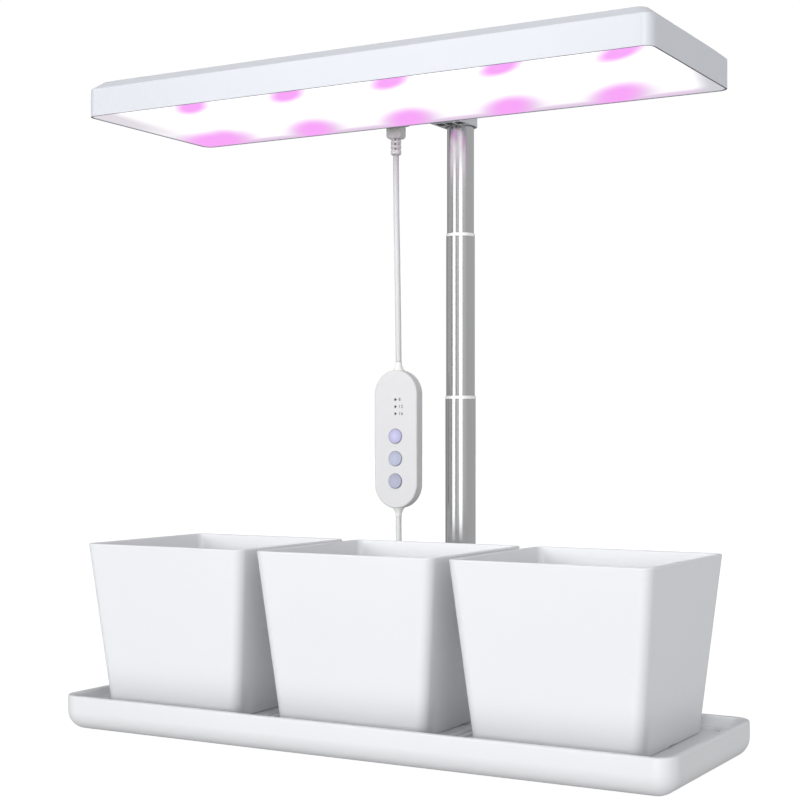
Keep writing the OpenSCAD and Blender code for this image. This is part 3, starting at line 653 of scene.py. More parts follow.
def node_box(node: str) -> tuple[Vector, Vector, Point, Point]:
    """Measures the box of a CAD node.

    Args:
        node: the node's name.

    Returns:
        Its lowest corner, its highest corner, the middle of its lower face, and its size.
    """
    low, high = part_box(node)
    foot = ((low.x + high.x) / 2, (low.y + high.y) / 2, low.z)
    return low, high, foot, (high.x - low.x, high.y - low.y, high.z - low.z)


def close_up(bm: bmesh.types.BMesh) -> None:
    """Merges points that lie together."""
    bmesh.ops.remove_doubles(bm, verts=bm.verts[:], dist=TOUCH)


def face_out(bm: bmesh.types.BMesh) -> None:
    """Points all faces outward."""
    bmesh.ops.recalc_face_normals(bm, faces=bm.faces[:])


def shift(bm: bmesh.types.BMesh, offset: Point) -> None:
    """Moves a whole mesh."""
    bmesh.ops.translate(bm, vec=offset, verts=bm.verts[:])


def swing(bm: bmesh.types.BMesh, degrees: float, axis: str = "X") -> None:
    """Turns a whole mesh about an axis through the origin."""
    matrix = Matrix.Rotation(math.radians(degrees), 3, axis)
    bmesh.ops.rotate(bm, matrix=matrix, verts=bm.verts[:])


def round_off(
    bm: bmesh.types.BMesh,
    items: Sequence[bmesh.types.BMEdge | bmesh.types.BMVert],
    radius: float,
    segments: int = 3,
    affect: str = "EDGES",
) -> None:
    """Rounds edges, or the corners of a flat face.

    Args:
        bm: the mesh under construction.
        items: the edges or corners.
        radius: the radius of the rounding.
        segments: its facets.
        affect: EDGES or VERTICES.
    """
    bmesh.ops.bevel(
        bm, geom=list(items), offset=radius, affect=affect, segments=segments,
        profile=0.5, material=-1, clamp_overlap=False,
    )


def rounded_sheet(
    bm: bmesh.types.BMesh,
    centre: Point,
    length: float,
    width: float,
    radius: float,
    segments: int = 10,
    back_only: bool = False,
) -> bmesh.types.BMFace:
    """Lays down one flat face with round corners.

    Args:
        bm: the mesh under construction, empty.
        centre: the face's middle.
        length: its size along X.
        width: its size along Y.
        radius: the radius of its corners.
        segments: facets of each corner.
        back_only: round the two back corners only.

    Returns:
        The face.
    """
    verts = bmesh.ops.create_grid(bm, x_segments=1, y_segments=1, size=0.5)["verts"]
    bmesh.ops.scale(bm, vec=(length, width, 1.0), verts=verts)
    bmesh.ops.translate(bm, vec=centre, verts=verts)
    corners = [vert for vert in verts if vert.co.y > centre[1] or not back_only]
    round_off(bm, corners, radius, segments, "VERTICES")
    close_up(bm)
    return next(iter(bm.faces))


def pull(
    bm: bmesh.types.BMesh, face: bmesh.types.BMFace, offset: Point, widen: float = 0.0
) -> bmesh.types.BMFace:
    """Extrudes a face, and may widen it on the way with its corner radius kept.

    Args:
        bm: the mesh under construction.
        face: the face to pull.
        offset: how far and which way.
        widen: how far each side moves outward.

    Returns:
        The face at the new end.
    """
    middle = face.calc_center_median()
    is_inner = all(len(edge.link_faces) > 1 for edge in face.edges)
    made = bmesh.ops.extrude_face_region(bm, geom=[face])["geom"]
    if is_inner:
        bmesh.ops.delete(bm, geom=[face], context="FACES_ONLY")
    verts = [item for item in made if isinstance(item, bmesh.types.BMVert)]
    for vert in verts:
        side = vert.co - middle
        vert.co.x += widen if side.x > 0 else -widen
        vert.co.y += widen if side.y > 0 else -widen
    bmesh.ops.translate(bm, vec=offset, verts=verts)
    return next(item for item in made if isinstance(item, bmesh.types.BMFace))


def shrink(bm: bmesh.types.BMesh, face: bmesh.types.BMFace, margin: float) -> bmesh.types.BMFace:
    """Insets a face evenly and returns its inner part."""
    bmesh.ops.inset_region(bm, faces=[face], thickness=margin, use_even_offset=True)
    return face


def slab(
    bm: bmesh.types.BMesh,
    foot: Point,
    size: Point,
    radius: float,
    segments: int = 10,
    back_only: bool = False,
) -> bmesh.types.BMFace:
    """Raises a block with rounded upright edges.

    Args:
        bm: the mesh under construction, empty.
        foot: the middle of its lower face.
        size: its size along X, Y and Z.
        radius: the radius of its upright edges.
        segments: facets of each edge.
        back_only: round the two back edges only.

    Returns:
        Its upper face.
    """
    sheet = rounded_sheet(bm, foot, size[0], size[1], radius, segments, back_only)
    return pull(bm, sheet, (0, 0, size[2]))


def block(bm: bmesh.types.BMesh, low: Point, high: Point, radius: float = 0.2 * MM) -> None:
    """Puts a block with rounded upright edges between two corners."""
    foot = ((low[0] + high[0]) / 2, (low[1] + high[1]) / 2, low[2])
    slab(bm, foot, (high[0] - low[0], high[1] - low[1], high[2] - low[2]), radius, 3)


def fit_corners(face: bmesh.types.BMFace, radius: float) -> None:
    """Gives the corners of a rounded flat face another radius, its sides staying where they are.

    Args:
        face: the face, with as many points at each corner.
        radius: the new radius.
    """
    middle = face.calc_center_bounds()
    half = [max(abs(vert.co[axis] - middle[axis]) for vert in face.verts) for axis in (0, 1)]
    for side_x, side_y in ((-1, -1), (-1, 1), (1, -1), (1, 1)):
        corner = [
            vert for vert in face.verts
            if (vert.co.x - middle.x) * side_x > 0 and (vert.co.y - middle.y) * side_y > 0
        ]
        corner.sort(key=lambda vert: vert.co.y * side_y - vert.co.x * side_x)
        for k, vert in enumerate(corner):
            turn = math.pi / 2 * k / (len(corner) - 1)
            vert.co.x = middle.x + side_x * (half[0] - radius * (1 - math.cos(turn)))
            vert.co.y = middle.y + side_y * (half[1] - radius * (1 - math.sin(turn)))


def crease_edges(
    bm: bmesh.types.BMesh, wanted: Callable[[Vector], bool], least: float = 60.0
) -> list[bmesh.types.BMEdge]:
    """The edges that turn by more than an angle and lie where they are wanted.

    Args:
        bm: the mesh under construction.
        wanted: says of a point whether it lies there; both ends have to.
        least: the smallest turn in degrees.

    Returns:
        The edges.
    """
    return [
        edge
        for edge in bm.edges
        if len(edge.link_faces) == 2
        and abs(edge.calc_face_angle(0.0)) > math.radians(least)
        and all(wanted(vert.co) for vert in edge.verts)
    ]


def at_height(z: float, slack: float = 2e-6) -> Callable[[Vector], bool]:
    """Says of a point whether it lies at that height."""
    return lambda co: abs(co.z - z) < slack


def ease(
    bm: bmesh.types.BMesh, z: float, radius: float, segments: int = 3, least: float = 60.0
) -> None:
    """Rounds the edges at a height that turn by at least so many degrees."""
    face_out(bm)
    round_off(bm, crease_edges(bm, at_height(z), least), radius, segments)


def underside(bm: bmesh.types.BMesh) -> bmesh.types.BMFace:
    """The lowest face."""
    return min(bm.faces, key=lambda face: face.calc_center_median().z)


def lathe(bm: bmesh.types.BMesh, outline: Sequence[tuple[float, float]], steps: int = 64) -> None:
    """Turns an outline round the Z axis.

    Args:
        bm: the mesh under construction, empty but for turned pieces.
        outline: (radius, height) points in order; a ring's outline ends on its first point.
        steps: facets of the full turn.
    """
    verts = [bm.verts.new((radius, 0.0, height)) for radius, height in outline]
    edges = [bm.edges.new(pair) for pair in zip(verts, verts[1:])]
    bmesh.ops.spin(
        bm,
        geom=verts + edges,
        cent=(0.0, 0.0, 0.0),
        axis=(0.0, 0.0, 1.0),
        angle=math.tau,
        steps=steps,
        use_merge=True,
    )
    close_up(bm)


def rounded_edge(radius: float, top: float, edge: float) -> list[Span]:
    """The part of a turned outline that rounds its outer top edge, from the side upward."""
    turns = [math.radians(15 * k) for k in range(7)]
    return [(radius - edge + edge * math.cos(t), top - edge + edge * math.sin(t)) for t in turns]


def rod(
    bm: bmesh.types.BMesh, x: float, y: float, low: float, high: float, radius: float,
    widen: float = 0.0,
) -> None:
    """Stands a round rod in a tool shape.

    Args:
        bm: the mesh under construction.
        x: its axis along X.
        y: its axis along Y.
        low: its lower end.
        high: its upper end.
        radius: its radius.
        widen: how much wider its upper end is.
    """
    bmesh.ops.create_cone(
        bm, cap_ends=True, segments=48, radius1=radius, radius2=radius + widen,
        depth=high - low, matrix=Matrix.Translation((x, y, (low + high) / 2)),
    )


def cross_rods(
    bm: bmesh.types.BMesh, x: float, y: float, z: float, ends: Span, radius: float
) -> None:
    """Lays two rods along Y in a tool shape.

    Args:
        bm: the mesh under construction, empty.
        x: how far each lies from the middle.
        y: the place that their ends are measured from.
        z: their height.
        ends: how far in front of that place they start and end.
        radius: their radius.
    """
    for side in (-x, x):
        rod(bm, side, z, *ends, radius)
    swing(bm, 90)
    shift(bm, (0, y, 0))


def weighted(obj: bpy.types.Object) -> bpy.types.Object:
    """Gives a piece clean shading: smooth over roundings, flat on flats.

    Args:
        obj: the piece.

    Returns:
        The piece.
    """
    mesh = obj.data
    mesh.polygons.foreach_set("use_smooth", [True] * len(mesh.polygons))
    mesh.set_sharp_from_angle(angle=SMOOTH_ANGLE)
    modifier = obj.modifiers.new("clean_shading", "WEIGHTED_NORMAL")
    modifier.keep_sharp = True
    modifier.weight = 60
    return obj


def as_object(bm: bmesh.types.BMesh, name: str, finish: Finish) -> bpy.types.Object:
    """Turns a finished bmesh into a piece of the scene.

    Args:
        bm: the mesh under construction, which is freed.
        name: the piece's name.
        finish: its finish.

    Returns:
        The piece.
    """
    close_up(bm)
    face_out(bm)
    mesh = bpy.data.meshes.new(name)
    bm.to_mesh(mesh)
    bm.free()
    mesh.materials.append(finish.material())
    return weighted(link(name, mesh))


def tint_faces(
    obj: bpy.types.Object, finish: Finish, wanted: Callable[[Vector], bool]
) -> None:
    """Gives some faces of a piece a second finish.

    Args:
        obj: the piece.
        finish: the second finish.
        wanted: says of a face's centre whether it gets it.
    """
    obj.data.materials.append(finish.material())
    for face in obj.data.polygons:
        if wanted(face.center):
            face.material_index = len(obj.data.materials) - 1


def weld(mesh: bpy.types.Mesh) -> None:
    """Joins points that lie together and drops faces and edges without size.

    Args:
        mesh: the mesh.
    """
    bm = bmesh.new()
    bm.from_mesh(mesh)
    bmesh.ops.remove_doubles(bm, verts=bm.verts[:], dist=WELD)
    bmesh.ops.dissolve_degenerate(bm, dist=TOUCH, edges=bm.edges[:])
    bm.to_mesh(mesh)
    bm.free()


def combine(target: bpy.types.Object, tool: bmesh.types.BMesh, operation: str) -> None:
    """Joins a tool shape to a piece or cuts it away.

    Args:
        target: the piece, whose mesh is replaced.
        tool: the shape, which is freed.
        operation: UNION or DIFFERENCE.
    """
    close_up(tool)
    face_out(tool)
    mesh = bpy.data.meshes.new("tool")
    tool.to_mesh(mesh)
    tool.free()
    helper = link("tool", mesh)
    target.modifiers.clear()
    boolean = target.modifiers.new("joint", "BOOLEAN")
    boolean.operation = operation
    boolean.solver = "EXACT"
    boolean.object = helper
    result = evaluated(target)
    target.modifiers.clear()
    target.data = result
    bpy.data.objects.remove(helper)
    weld(target.data)
    weighted(target)


@contextmanager
def tool_for(target: bpy.types.Object, operation: str) -> Iterator[bmesh.types.BMesh]:
    """Gives an empty tool shape to fill, and joins it to a piece or cuts it away at the end.

    Args:
        target: the piece.
        operation: UNION or DIFFERENCE.

    Yields:
        The tool shape.
    """
    bm = bmesh.new()
    yield bm
    combine(target, bm, operation)


def settle(
    obj: bpy.types.Object, body: str, nodes: Sequence[str] = ()
) -> bpy.types.Object:
    """Puts a piece on its body, says which CAD nodes it stands for and reports it.

    Args:
        obj: the piece.
        body: the body that it moves with.
        nodes: the nodes that it replaces.

    Returns:
        The piece.
    """
    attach(obj, body)
    if nodes:
        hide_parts(*nodes)
    LOG.info("%s on %s, for %s", obj.name, body, ", ".join(nodes) or "no node")
    return obj


# --- Cords ---------------------------------------------------------------------------------


@dataclass
class Cord:
    """The cord: from the lamp to the controller, and on to its coil and plug."""

    diameter: float = 3.5 * MM
    sides: int = 16
    upper_route: tuple[Point, ...] = (
        (-37, 53, 336), (-37, 53, 327), (-36.9, 53, 318), (-36.8, 53, 309), (-36.7, 53, 300),
        (-36.5, 53, 291), (-36.3, 53, 282), (-36.1, 53, 273), (-36, 53, 264), (-35.8, 53, 255),
        (-35.7, 53, 246), (-35.5, 53, 237), (-35.4, 53, 228), (-35.3, 53, 220), (-35.2, 53, 212),
    )
    lower_route: tuple[Point, ...] = (
        (-35.2, 53, 120), (-35.2, 53, 112), (-35.1, 53, 103), (-35.1, 53, 94), (-35, 53, 85),
        (-35, 53, 76), (-35, 53, 67), (-35, 53, 58), (-35, 53, 49), (-35, 53, 40),
        (-35.1, 53, 32), (-35.4, 53, 24), (-36.5, 53, 17), (-39.1, 53, 11), (-43.4, 53, 6.2),
        (-49, 52.9, 3.5), (-56, 52.8, 2.6), (-64, 52.8, 2.6),
    )
    tail_route: tuple[Point, ...] = (
        (-64, 101.2, 6.1), (-58, 101.1, 5.7), (-52, 100.8, 4.8), (-46, 100.4, 4),
        (-41, 100.1, 3.7), (-36, 100, 3.7),
    )
    coil_centre: tuple[float, float] = (-72, 77)
    coil_mean: float = 19.0
    coil_columns: int = 4
    coil_floor: float = 0.8
    turn_steps: int = 40

    def smooth(self, route: Sequence[Point], steps: int = 6) -> list[Vector]:
        """A smooth line through a route's points.

        Args:
            route: the points in millimetres.
            steps: how many pieces each stretch gets.

        Returns:
            The line's points in metres.
        """
        ends = [Vector(route[0]) * 2 - Vector(route[1])]
        ends += [Vector(p) for p in route]
        ends.append(Vector(route[-1]) * 2 - Vector(route[-2]))
        line = []
        for a, b, c, d in zip(ends, ends[1:], ends[2:], ends[3:]):
            for k in range(steps):
                t = k / steps
                line.append(
                    0.5 * (2 * b + (c - a) * t + (2 * a - 5 * b + 4 * c - d) * t**2
                           + (3 * b - a - 3 * c + d) * t**3) * MM
                )
        line.append(Vector(route[-1]) * MM)
        return line

    def coil(self) -> list[Vector]:
        """The turns: inward in the bottom layer, then outward on top of it.

        Returns:
            The line's points in metres.
        """
        step = self.diameter / MM
        outer = self.coil_mean + step * (self.coil_columns - 1) / 2
        inner = outer - step * (self.coil_columns - 1)
        bottom = self.coil_floor + step / 2
        turns = 2 * self.coil_columns - 0.5
        line = []
        for k in range(1, int(turns * self.turn_steps)):
            t = k / self.turn_steps
            whole, part = int(t), t - int(t)
            if t < self.coil_columns:
                inward = self._ease((part - 5 / 6) * 6) if whole < self.coil_columns - 1 else 0.0
                radius = outer - step * (whole + inward)
                rise = self._ease((part - 4 / 6) * 6) if whole == self.coil_columns - 1 else 0.0
            else:
                whole -= self.coil_columns
                inward = self._ease((part - 3 / 6) * 6) if whole < self.coil_columns - 1 else 0.0
                radius = inner + step * (whole + inward)
                rise = 1.0
            turn = math.radians(-90) - math.tau * t
            line.append(
                Vector((
                    self.coil_centre[0] + radius * math.cos(turn),
                    self.coil_centre[1] + radius * math.sin(turn),
                    bottom + step * rise,
                )) * MM
            )
        return line

    @staticmethod
    def _ease(t: float) -> float:
        """A smooth step from 0 to 1."""
        t = min(max(t, 0.0), 1.0)
        return t * t * (3 - 2 * t)

    def tube(self, name: str, line: Sequence[Vector]) -> bpy.types.Object:
        """A round tube along a line, as a mesh.

        Args:
            name: the piece's name.
            line: its centreline in metres.

        Returns:
            The piece.
        """
        curve = bpy.data.curves.new(name + "_line", "CURVE")
        curve.dimensions = "3D"
        curve.bevel_depth = self.diameter / 2
        curve.bevel_resolution = self.sides // 4
        curve.use_fill_caps = True
        spline = curve.splines.new("POLY")
        spline.points.add(len(line) - 1)
        for point, place in zip(spline.points, line):
            point.co = (*place, 1.0)
        mesh = mesh_of_curve(curve)
        mesh.name = name
        mesh.materials.clear()
        mesh.materials.append(CORD_RUBBER.material())
        mesh.polygons.foreach_set("use_smooth", [True] * len(mesh.polygons))
        weld(mesh)
        return link(name, mesh)

    @staticmethod
    def length(line: Sequence[Vector]) -> float:
        """The length of a line in metres."""
        return sum((b - a).length for a, b in zip(line, line[1:]))

    def build(self) -> None:
        upper = self.smooth(self.upper_route)
        piece = self.tube("cord_from_lamp", upper)
        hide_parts("cord_upper")
        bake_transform(piece)
        self.length(upper)
        LOG.info("cord_from_lamp is %.0f mm long", self.length(upper) / MM)
        line = self.smooth(self.lower_route) + self.coil() + self.smooth(self.tail_route)
        piece = self.tube("cord_to_usb", line)
        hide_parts("cord_lower", "cord_coil", "cord_tail")
        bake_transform(piece)
        self.length(line)
        LOG.info("cord_to_usb is %.0f mm long", self.length(line) / MM)


# --- Camera, stage and lights --------------------------------------------------------------


@dataclass
class Studio:
    """Camera, pale floor and backdrop, and soft lights."""

    place: Point = (0.44004, -0.77217, 0.16916)
    azimuth: float = 29.89
    lens: float = 71.68
    shift: float = 0.0424
    backdrop_radius: float = 12.0
    sky_low: float = 0.30
    sky_rise: float = 0.10
    sky_right: float = 0.26
    sky_reach: float = 0.35
    strip_aim: Point = (0.0, 0.065, 0.45)
    strip_reach: float = 1.6
    strip_height: float = 1.6

    def camera(self) -> None:
        """Sets up the camera."""
        data = bpy.data.cameras.new("camera")
        data.lens = self.lens
        data.sensor_width = 36.0
        data.shift_y = self.shift
        data.clip_start = 0.01
        data.clip_end = 60.0
        camera = link("camera", data)
        camera.location = self.place
        camera.rotation_euler = (math.radians(90), 0.0, math.radians(self.azimuth))
        bpy.context.scene.camera = camera

    def _glow(self, name: str, strength: float, diffuse: float) -> bpy.types.Material:
        """A white backdrop material.

        Args:
            name: its name.
            strength: how much it shines by itself.
            diffuse: the share of its colour that takes light and shadow.

        Returns:
            The material.
        """
        return Graph(name).surface(
            Base_Color=(diffuse, diffuse, diffuse),
            Roughness=0.9,
            Emission_Color=(1.0, 1.0, 1.0),
            Emission_Strength=strength,
        )

    def stage(self) -> None:
        """Makes the floor and the backdrop."""
        bm = bmesh.new()
        bmesh.ops.create_circle(bm, cap_ends=True, segments=64, radius=self.backdrop_radius)
        floor = self._plain(bm, "floor", self._glow("floor_white", 0.94, 0.12))
        floor.location.z = -0.0002
        floor.visible_diffuse = False
        floor.visible_glossy = False
        bm = bmesh.new()
        bmesh.ops.create_uvsphere(bm, u_segments=48, v_segments=24, radius=self.backdrop_radius)
        sky = self._plain(bm, "backdrop", self._glow("backdrop_white", 1.0, 0.0))
        for ray in ("diffuse", "glossy", "transmission", "shadow"):
            setattr(sky, "visible_" + ray, False)

    @staticmethod
    def _plain(bm: bmesh.types.BMesh, name: str, material: bpy.types.Material) -> bpy.types.Object:
        """Puts a stage object in the scene.

        Args:
            bm: its shape, which is freed.
            name: its name.
            material: its material.

        Returns:
            The object.
        """
        mesh = bpy.data.meshes.new(name)
        bm.to_mesh(mesh)
        bm.free()
        mesh.materials.append(material)
        obj = link(name, mesh)
        return obj

    def _panel(
        self, name: str, place: Point, aim: Point, size: Span, power: float
    ) -> bpy.types.Object:
        """Hangs one rectangular light.

        Args:
            name: its name.
            place: where it hangs.
            aim: what it faces.
            size: its width and height.
            power: its power in watts.

        Returns:
            The light.
        """
        data = bpy.data.lights.new(name, "AREA")
        data.shape = "RECTANGLE"
        data.size, data.size_y = size
        data.energy = power
        light = link(name, data)
        light.location = place
        light.rotation_euler = (Vector(aim) - Vector(place)).to_track_quat("-Z", "Y").to_euler()
        light.visible_camera = False
        return light

    def _strip(self, name: str, bearing: float, width: float, power: float) -> None:
        """Stands a tall strip light that mirrors as a line in the tubes.

        Args:
            name: its name.
            bearing: its direction from the pole, clockwise from the front, in degrees.
            width: its width.
            power: its power in watts.
        """
        turn, (_, y, z) = math.radians(bearing), self.strip_aim
        place = (self.strip_reach * math.sin(turn), y - self.strip_reach * math.cos(turn), z)
        light = self._panel(name, place, self.strip_aim, (width, self.strip_height), power)
        light.visible_diffuse = False

    def sky(self) -> None:
        """A pale sky, a little brighter above and to the right."""
        world = bpy.data.worlds.new("sky")
        world.use_nodes = True
        tree = world.node_tree
        coordinates = tree.nodes.new("ShaderNodeTexCoord")
        split = tree.nodes.new("ShaderNodeSeparateXYZ")
        tree.links.new(coordinates.outputs["Generated"], split.inputs["Vector"])
        total = tree.nodes.new("ShaderNodeMath")
        for place, (axis, low, high) in enumerate(
            (("Z", self.sky_low, self.sky_low + self.sky_rise), ("X", 0.0, self.sky_right))
        ):
            ramp = tree.nodes.new("ShaderNodeMapRange")
            ramp.interpolation_type = "SMOOTHSTEP"
            limits = {"From Min": -self.sky_reach, "From Max": self.sky_reach}
            for socket, value in {**limits, "To Min": low, "To Max": high}.items():
                ramp.inputs[socket].default_value = value
            tree.links.new(split.outputs[axis], ramp.inputs["Value"])
            tree.links.new(ramp.outputs["Result"], total.inputs[place])
        background = tree.nodes["Background"]
        background.inputs["Color"].default_value = (0.985, 0.99, 1.0, 1.0)
        tree.links.new(total.outputs["Value"], background.inputs["Strength"])
        bpy.context.scene.world = world

    def _daylight(self, name: str, bearing: float, rise: float, strength: float) -> None:
        """Adds a wide, even light that leaves no mirror image.

        Args:
            name: its name.
            bearing: its direction from the object, clockwise from the front, in degrees.
            rise: its height over the horizon in degrees.
            strength: its strength.
        """
        data = bpy.data.lights.new(name, "SUN")
        data.energy = strength
        data.angle = math.radians(30.0)
        light = link(name, data)
        light.visible_glossy = False
        turn, rise = math.radians(bearing), math.radians(rise)
        source = Vector((math.sin(turn), -math.cos(turn), math.tan(rise)))
        light.rotation_euler = (-source).to_track_quat("-Z", "Y").to_euler()

    def lights(self) -> None:
        """Lights the scene: the sky, four soft lights and the strips that the tubes mirror."""
        self.sky()
        self._daylight("key_left", -29.0, 16.0, 1.20)
        self._daylight("key_front", 10.0, 3.0, 1.85)
        self._daylight("fill_right", 60.0, 5.0, 0.45)
        self._daylight("fill_back", 205.0, 8.0, 1.10)
        self._strip("panel_far_left", -76.0, 1.5, 1.9)
        self._strip("panel_left", -25.5, 0.64, 6.2)
        self._strip("panel_front", 4.0, 0.30, 0.6)
        self._strip("panel_right", 29.6, 0.64, 7.0)
        self._strip("panel_side", 58.0, 0.80, 0.4)

    def build(self) -> None:
        """Sets up all of it, with plain colour management."""
        self.stage()
        self.lights()
        bpy.context.scene.view_settings.view_transform = "Standard"


# --- Tray and pots -------------------------------------------------------------------------


@dataclass
class DripTray:
    """The long tray with its rim, ribs, underside pockets and the lug that holds the pole."""

    corner: float = 11.5 * MM
    under_edge: float = 11.0 * MM
    rim: float = 3.8 * MM
    rim_lip: float = 1.2 * MM
    floor: float = 13.5 * MM
    floor_fillet: float = 2.5 * MM
    floor_sheet: float = 2.5 * MM
    foot: float = 3.5 * MM
    web: float = 3.0 * MM
    pocket_corner: float = 6.0 * MM
    rib_width: float = 1.6 * MM
    rib_height: float = 1.2 * MM
    rib_root: float = 0.5 * MM
    rib_gap: float = 6.2 * MM
    rib_corner: float = 10.5 * MM
    rib_edge: float = 0.5 * MM
    rib_cut: float = 0.4 * MM
    lug_start: float = 2.0 * MM
    lug_radius: float = 12.0 * MM
    lug_edge: float = 0.8 * MM
    pole_reach: float = 17.3 * MM
    socket_floor: float = 4.0 * MM
    socket_radius: float = 9.05 * MM
    screw_bore: float = 1.6 * MM
    head_bore: float = 3.2 * MM
    head_depth: float = 2.2 * MM
    pot_centres: tuple[float, ...] = (-117.1 * MM, 0.0, 117.1 * MM)
    pot_middle_y: float = -16.6 * MM
    pot_rim: float = 108.9 * MM

    def shell(self) -> None:
        """The dish itself, from one sheet pulled up, inset and pushed down."""
        low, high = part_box("tray")
        self.back, self.top_z = high.y - self.lug_radius - self.pole_reach, high.z
        self.length, self.width = high.x - low.x, self.back - low.y
        self.middle = (low.y + self.back) / 2
        bm = bmesh.new()
        size = (self.length, self.width, high.z)
        top = slab(bm, (0, self.middle, 0), size, self.corner, 14)
        pull(bm, shrink(bm, top, self.rim), (0, 0, self.floor - high.z))
        ease(bm, self.floor, self.floor_fillet, 5)
        ease(bm, high.z, self.rim_lip, 4)
        ease(bm, 0.0, self.under_edge, 12)
        self.tray = as_object(bm, "drip_tray", TRAY_PLASTIC)

    def add_ribs(self) -> None:
        """Joins the low rounded ribs that frame each pot's place."""
        length = self.pot_centres[1] - self.pot_centres[0] - self.rib_gap + self.rib_width
        size = (length, self.pot_rim, self.rib_height + self.rib_root)
        for x in self.pot_centres:
            with tool_for(self.tray, "UNION") as bm:
                foot = (x, self.pot_middle_y, self.floor - self.rib_root)
                top = slab(bm, foot, size, self.rib_corner, 8)
                inner = shrink(bm, top, self.rib_width)
                pull(bm, inner, (0, 0, -self.rib_height - self.rib_cut))
                ease(bm, self.floor + self.rib_height, self.rib_edge)

    def add_lug(self) -> None:
        """Joins the round-ended lug behind the tray and bores its socket."""
        pole_y = self.back + self.pole_reach
        start, end = self.back - self.lug_start, pole_y + self.lug_radius
        top = self.top_z - self.rim_lip
        with tool_for(self.tray, "UNION") as bm:
            foot, size = (0, (start + end) / 2, 0), (2 * self.lug_radius, end - start, top)
            slab(bm, foot, size, self.lug_radius, 24, back_only=True)
            ease(bm, top, self.lug_edge)
        for radius, low, high in (
            (self.socket_radius, self.socket_floor, 2 * self.top_z),
            (self.screw_bore, -self.socket_floor, 2 * self.socket_floor),
            (self.head_bore, -self.socket_floor, self.head_depth),
        ):
            with tool_for(self.tray, "DIFFERENCE") as bm:
                rod(bm, 0, pole_y, low, high, radius)

    def add_pockets(self) -> None:
        """Cuts the three pockets of the underside."""
        margin = 2 * (self.under_edge + self.foot)
        length = (self.length - margin - 2 * self.web) / 3
        size = (length, self.width - margin, self.floor - self.floor_sheet + OVERCUT)
        for place in (-1, 0, 1):
            with tool_for(self.tray, "DIFFERENCE") as bm:
                foot = (place * (length + self.web), self.middle, -OVERCUT)
                slab(bm, foot, size, self.pocket_corner, 8)

    def build(self) -> None:
        """Makes the tray."""
        self.shell()
        self.add_ribs()
        self.add_lug()
        self.add_pockets()
        settle(self.tray, "base", ["tray"])


class PotPlace(Enum):
    """Where a pot stands."""

    LEFT = "pot_left"
    MIDDLE = "pot_middle"
    RIGHT = "pot_right"


@dataclass
class SquarePot:
    """A tapered square pot with a rounded rim, a foot ridge and drain holes."""

    place: PotPlace
    base: float = 90.2 * MM
    corner: float = 6.0 * MM
    wall: float = 2.4 * MM
    floor_sheet: float = 2.4 * MM
    foot: float = 1.6 * MM
    ridge: float = 4.0 * MM
    lip: float = 0.8 * MM
    foot_edge: float = 0.8 * MM
    fillet: float = 3.0 * MM
    drain: float = 6.0 * MM
    drain_reach: float = 20.0 * MM
    drain_depth: float = 6.0 * MM
    notch: float = 9.0 * MM
    notch_corner: float = 0.4 * MM
    notch_start: float = 2.0 * MM

    def shell(self) -> None:
        """The pot's walls and floor, lofted from its foot."""
        low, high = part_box(self.place.value)
        height = high.z - low.z
        flare = ((high.x - low.x) - self.base) / 2
        self.centre = (low + high) / 2
        bm = bmesh.new()
        sheet = rounded_sheet(
            bm, (self.centre.x, self.centre.y, low.z), self.base, self.base, self.corner, 12
        )
        top = pull(bm, sheet, (0, 0, height), flare)
        inner = shrink(bm, top, self.wall)
        depth = height - self.foot - self.floor_sheet
        pull(bm, inner, (0, 0, -depth), -flare * depth / height)
        face_out(bm)
        pull(bm, shrink(bm, underside(bm), self.ridge), (0, 0, self.foot))
        self.floor_z = low.z + self.foot + self.floor_sheet
        ease(bm, high.z, self.lip, 4)
        ease(bm, self.floor_z, self.fillet, 6)
        ease(bm, low.z, self.foot_edge)
        self.pot = as_object(bm, self.place.value + "_body", POT_PLASTIC)

    def drill(self) -> None:
        """Drills the five drain holes."""
        reach, deep = self.drain_reach, self.drain_depth
        spots = [(0, 0)] + [(sx * reach, sy * reach) for sx in (-1, 1) for sy in (-1, 1)]
        with tool_for(self.pot, "DIFFERENCE") as bm:
            for x, y in spots:
                x, y = self.centre.x + x, self.centre.y + y
                rod(bm, x, y, self.floor_z - deep, self.floor_z + deep, self.drain / 2)

    def notch_foot(self) -> None:
        """Cuts the four low notches of the foot ridge that let water out."""
        low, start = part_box(self.place.value)[0], self.notch_start
        for length, width in ((2 * self.base, self.notch), (self.notch, 2 * self.base)):
            with tool_for(self.pot, "DIFFERENCE") as bm:
                foot = (self.centre.x, self.centre.y, low.z - start)
                size = (length, width, start + self.foot / 2)
                slab(bm, foot, size, self.notch_corner, 2)

    def build(self) -> None:
        """Makes the pot."""
        self.shell()
        self.drill()
        self.notch_foot()
        settle(self.pot, self.place.value, [self.place.value])


# --- Pole ----------------------------------------------------------------------------------


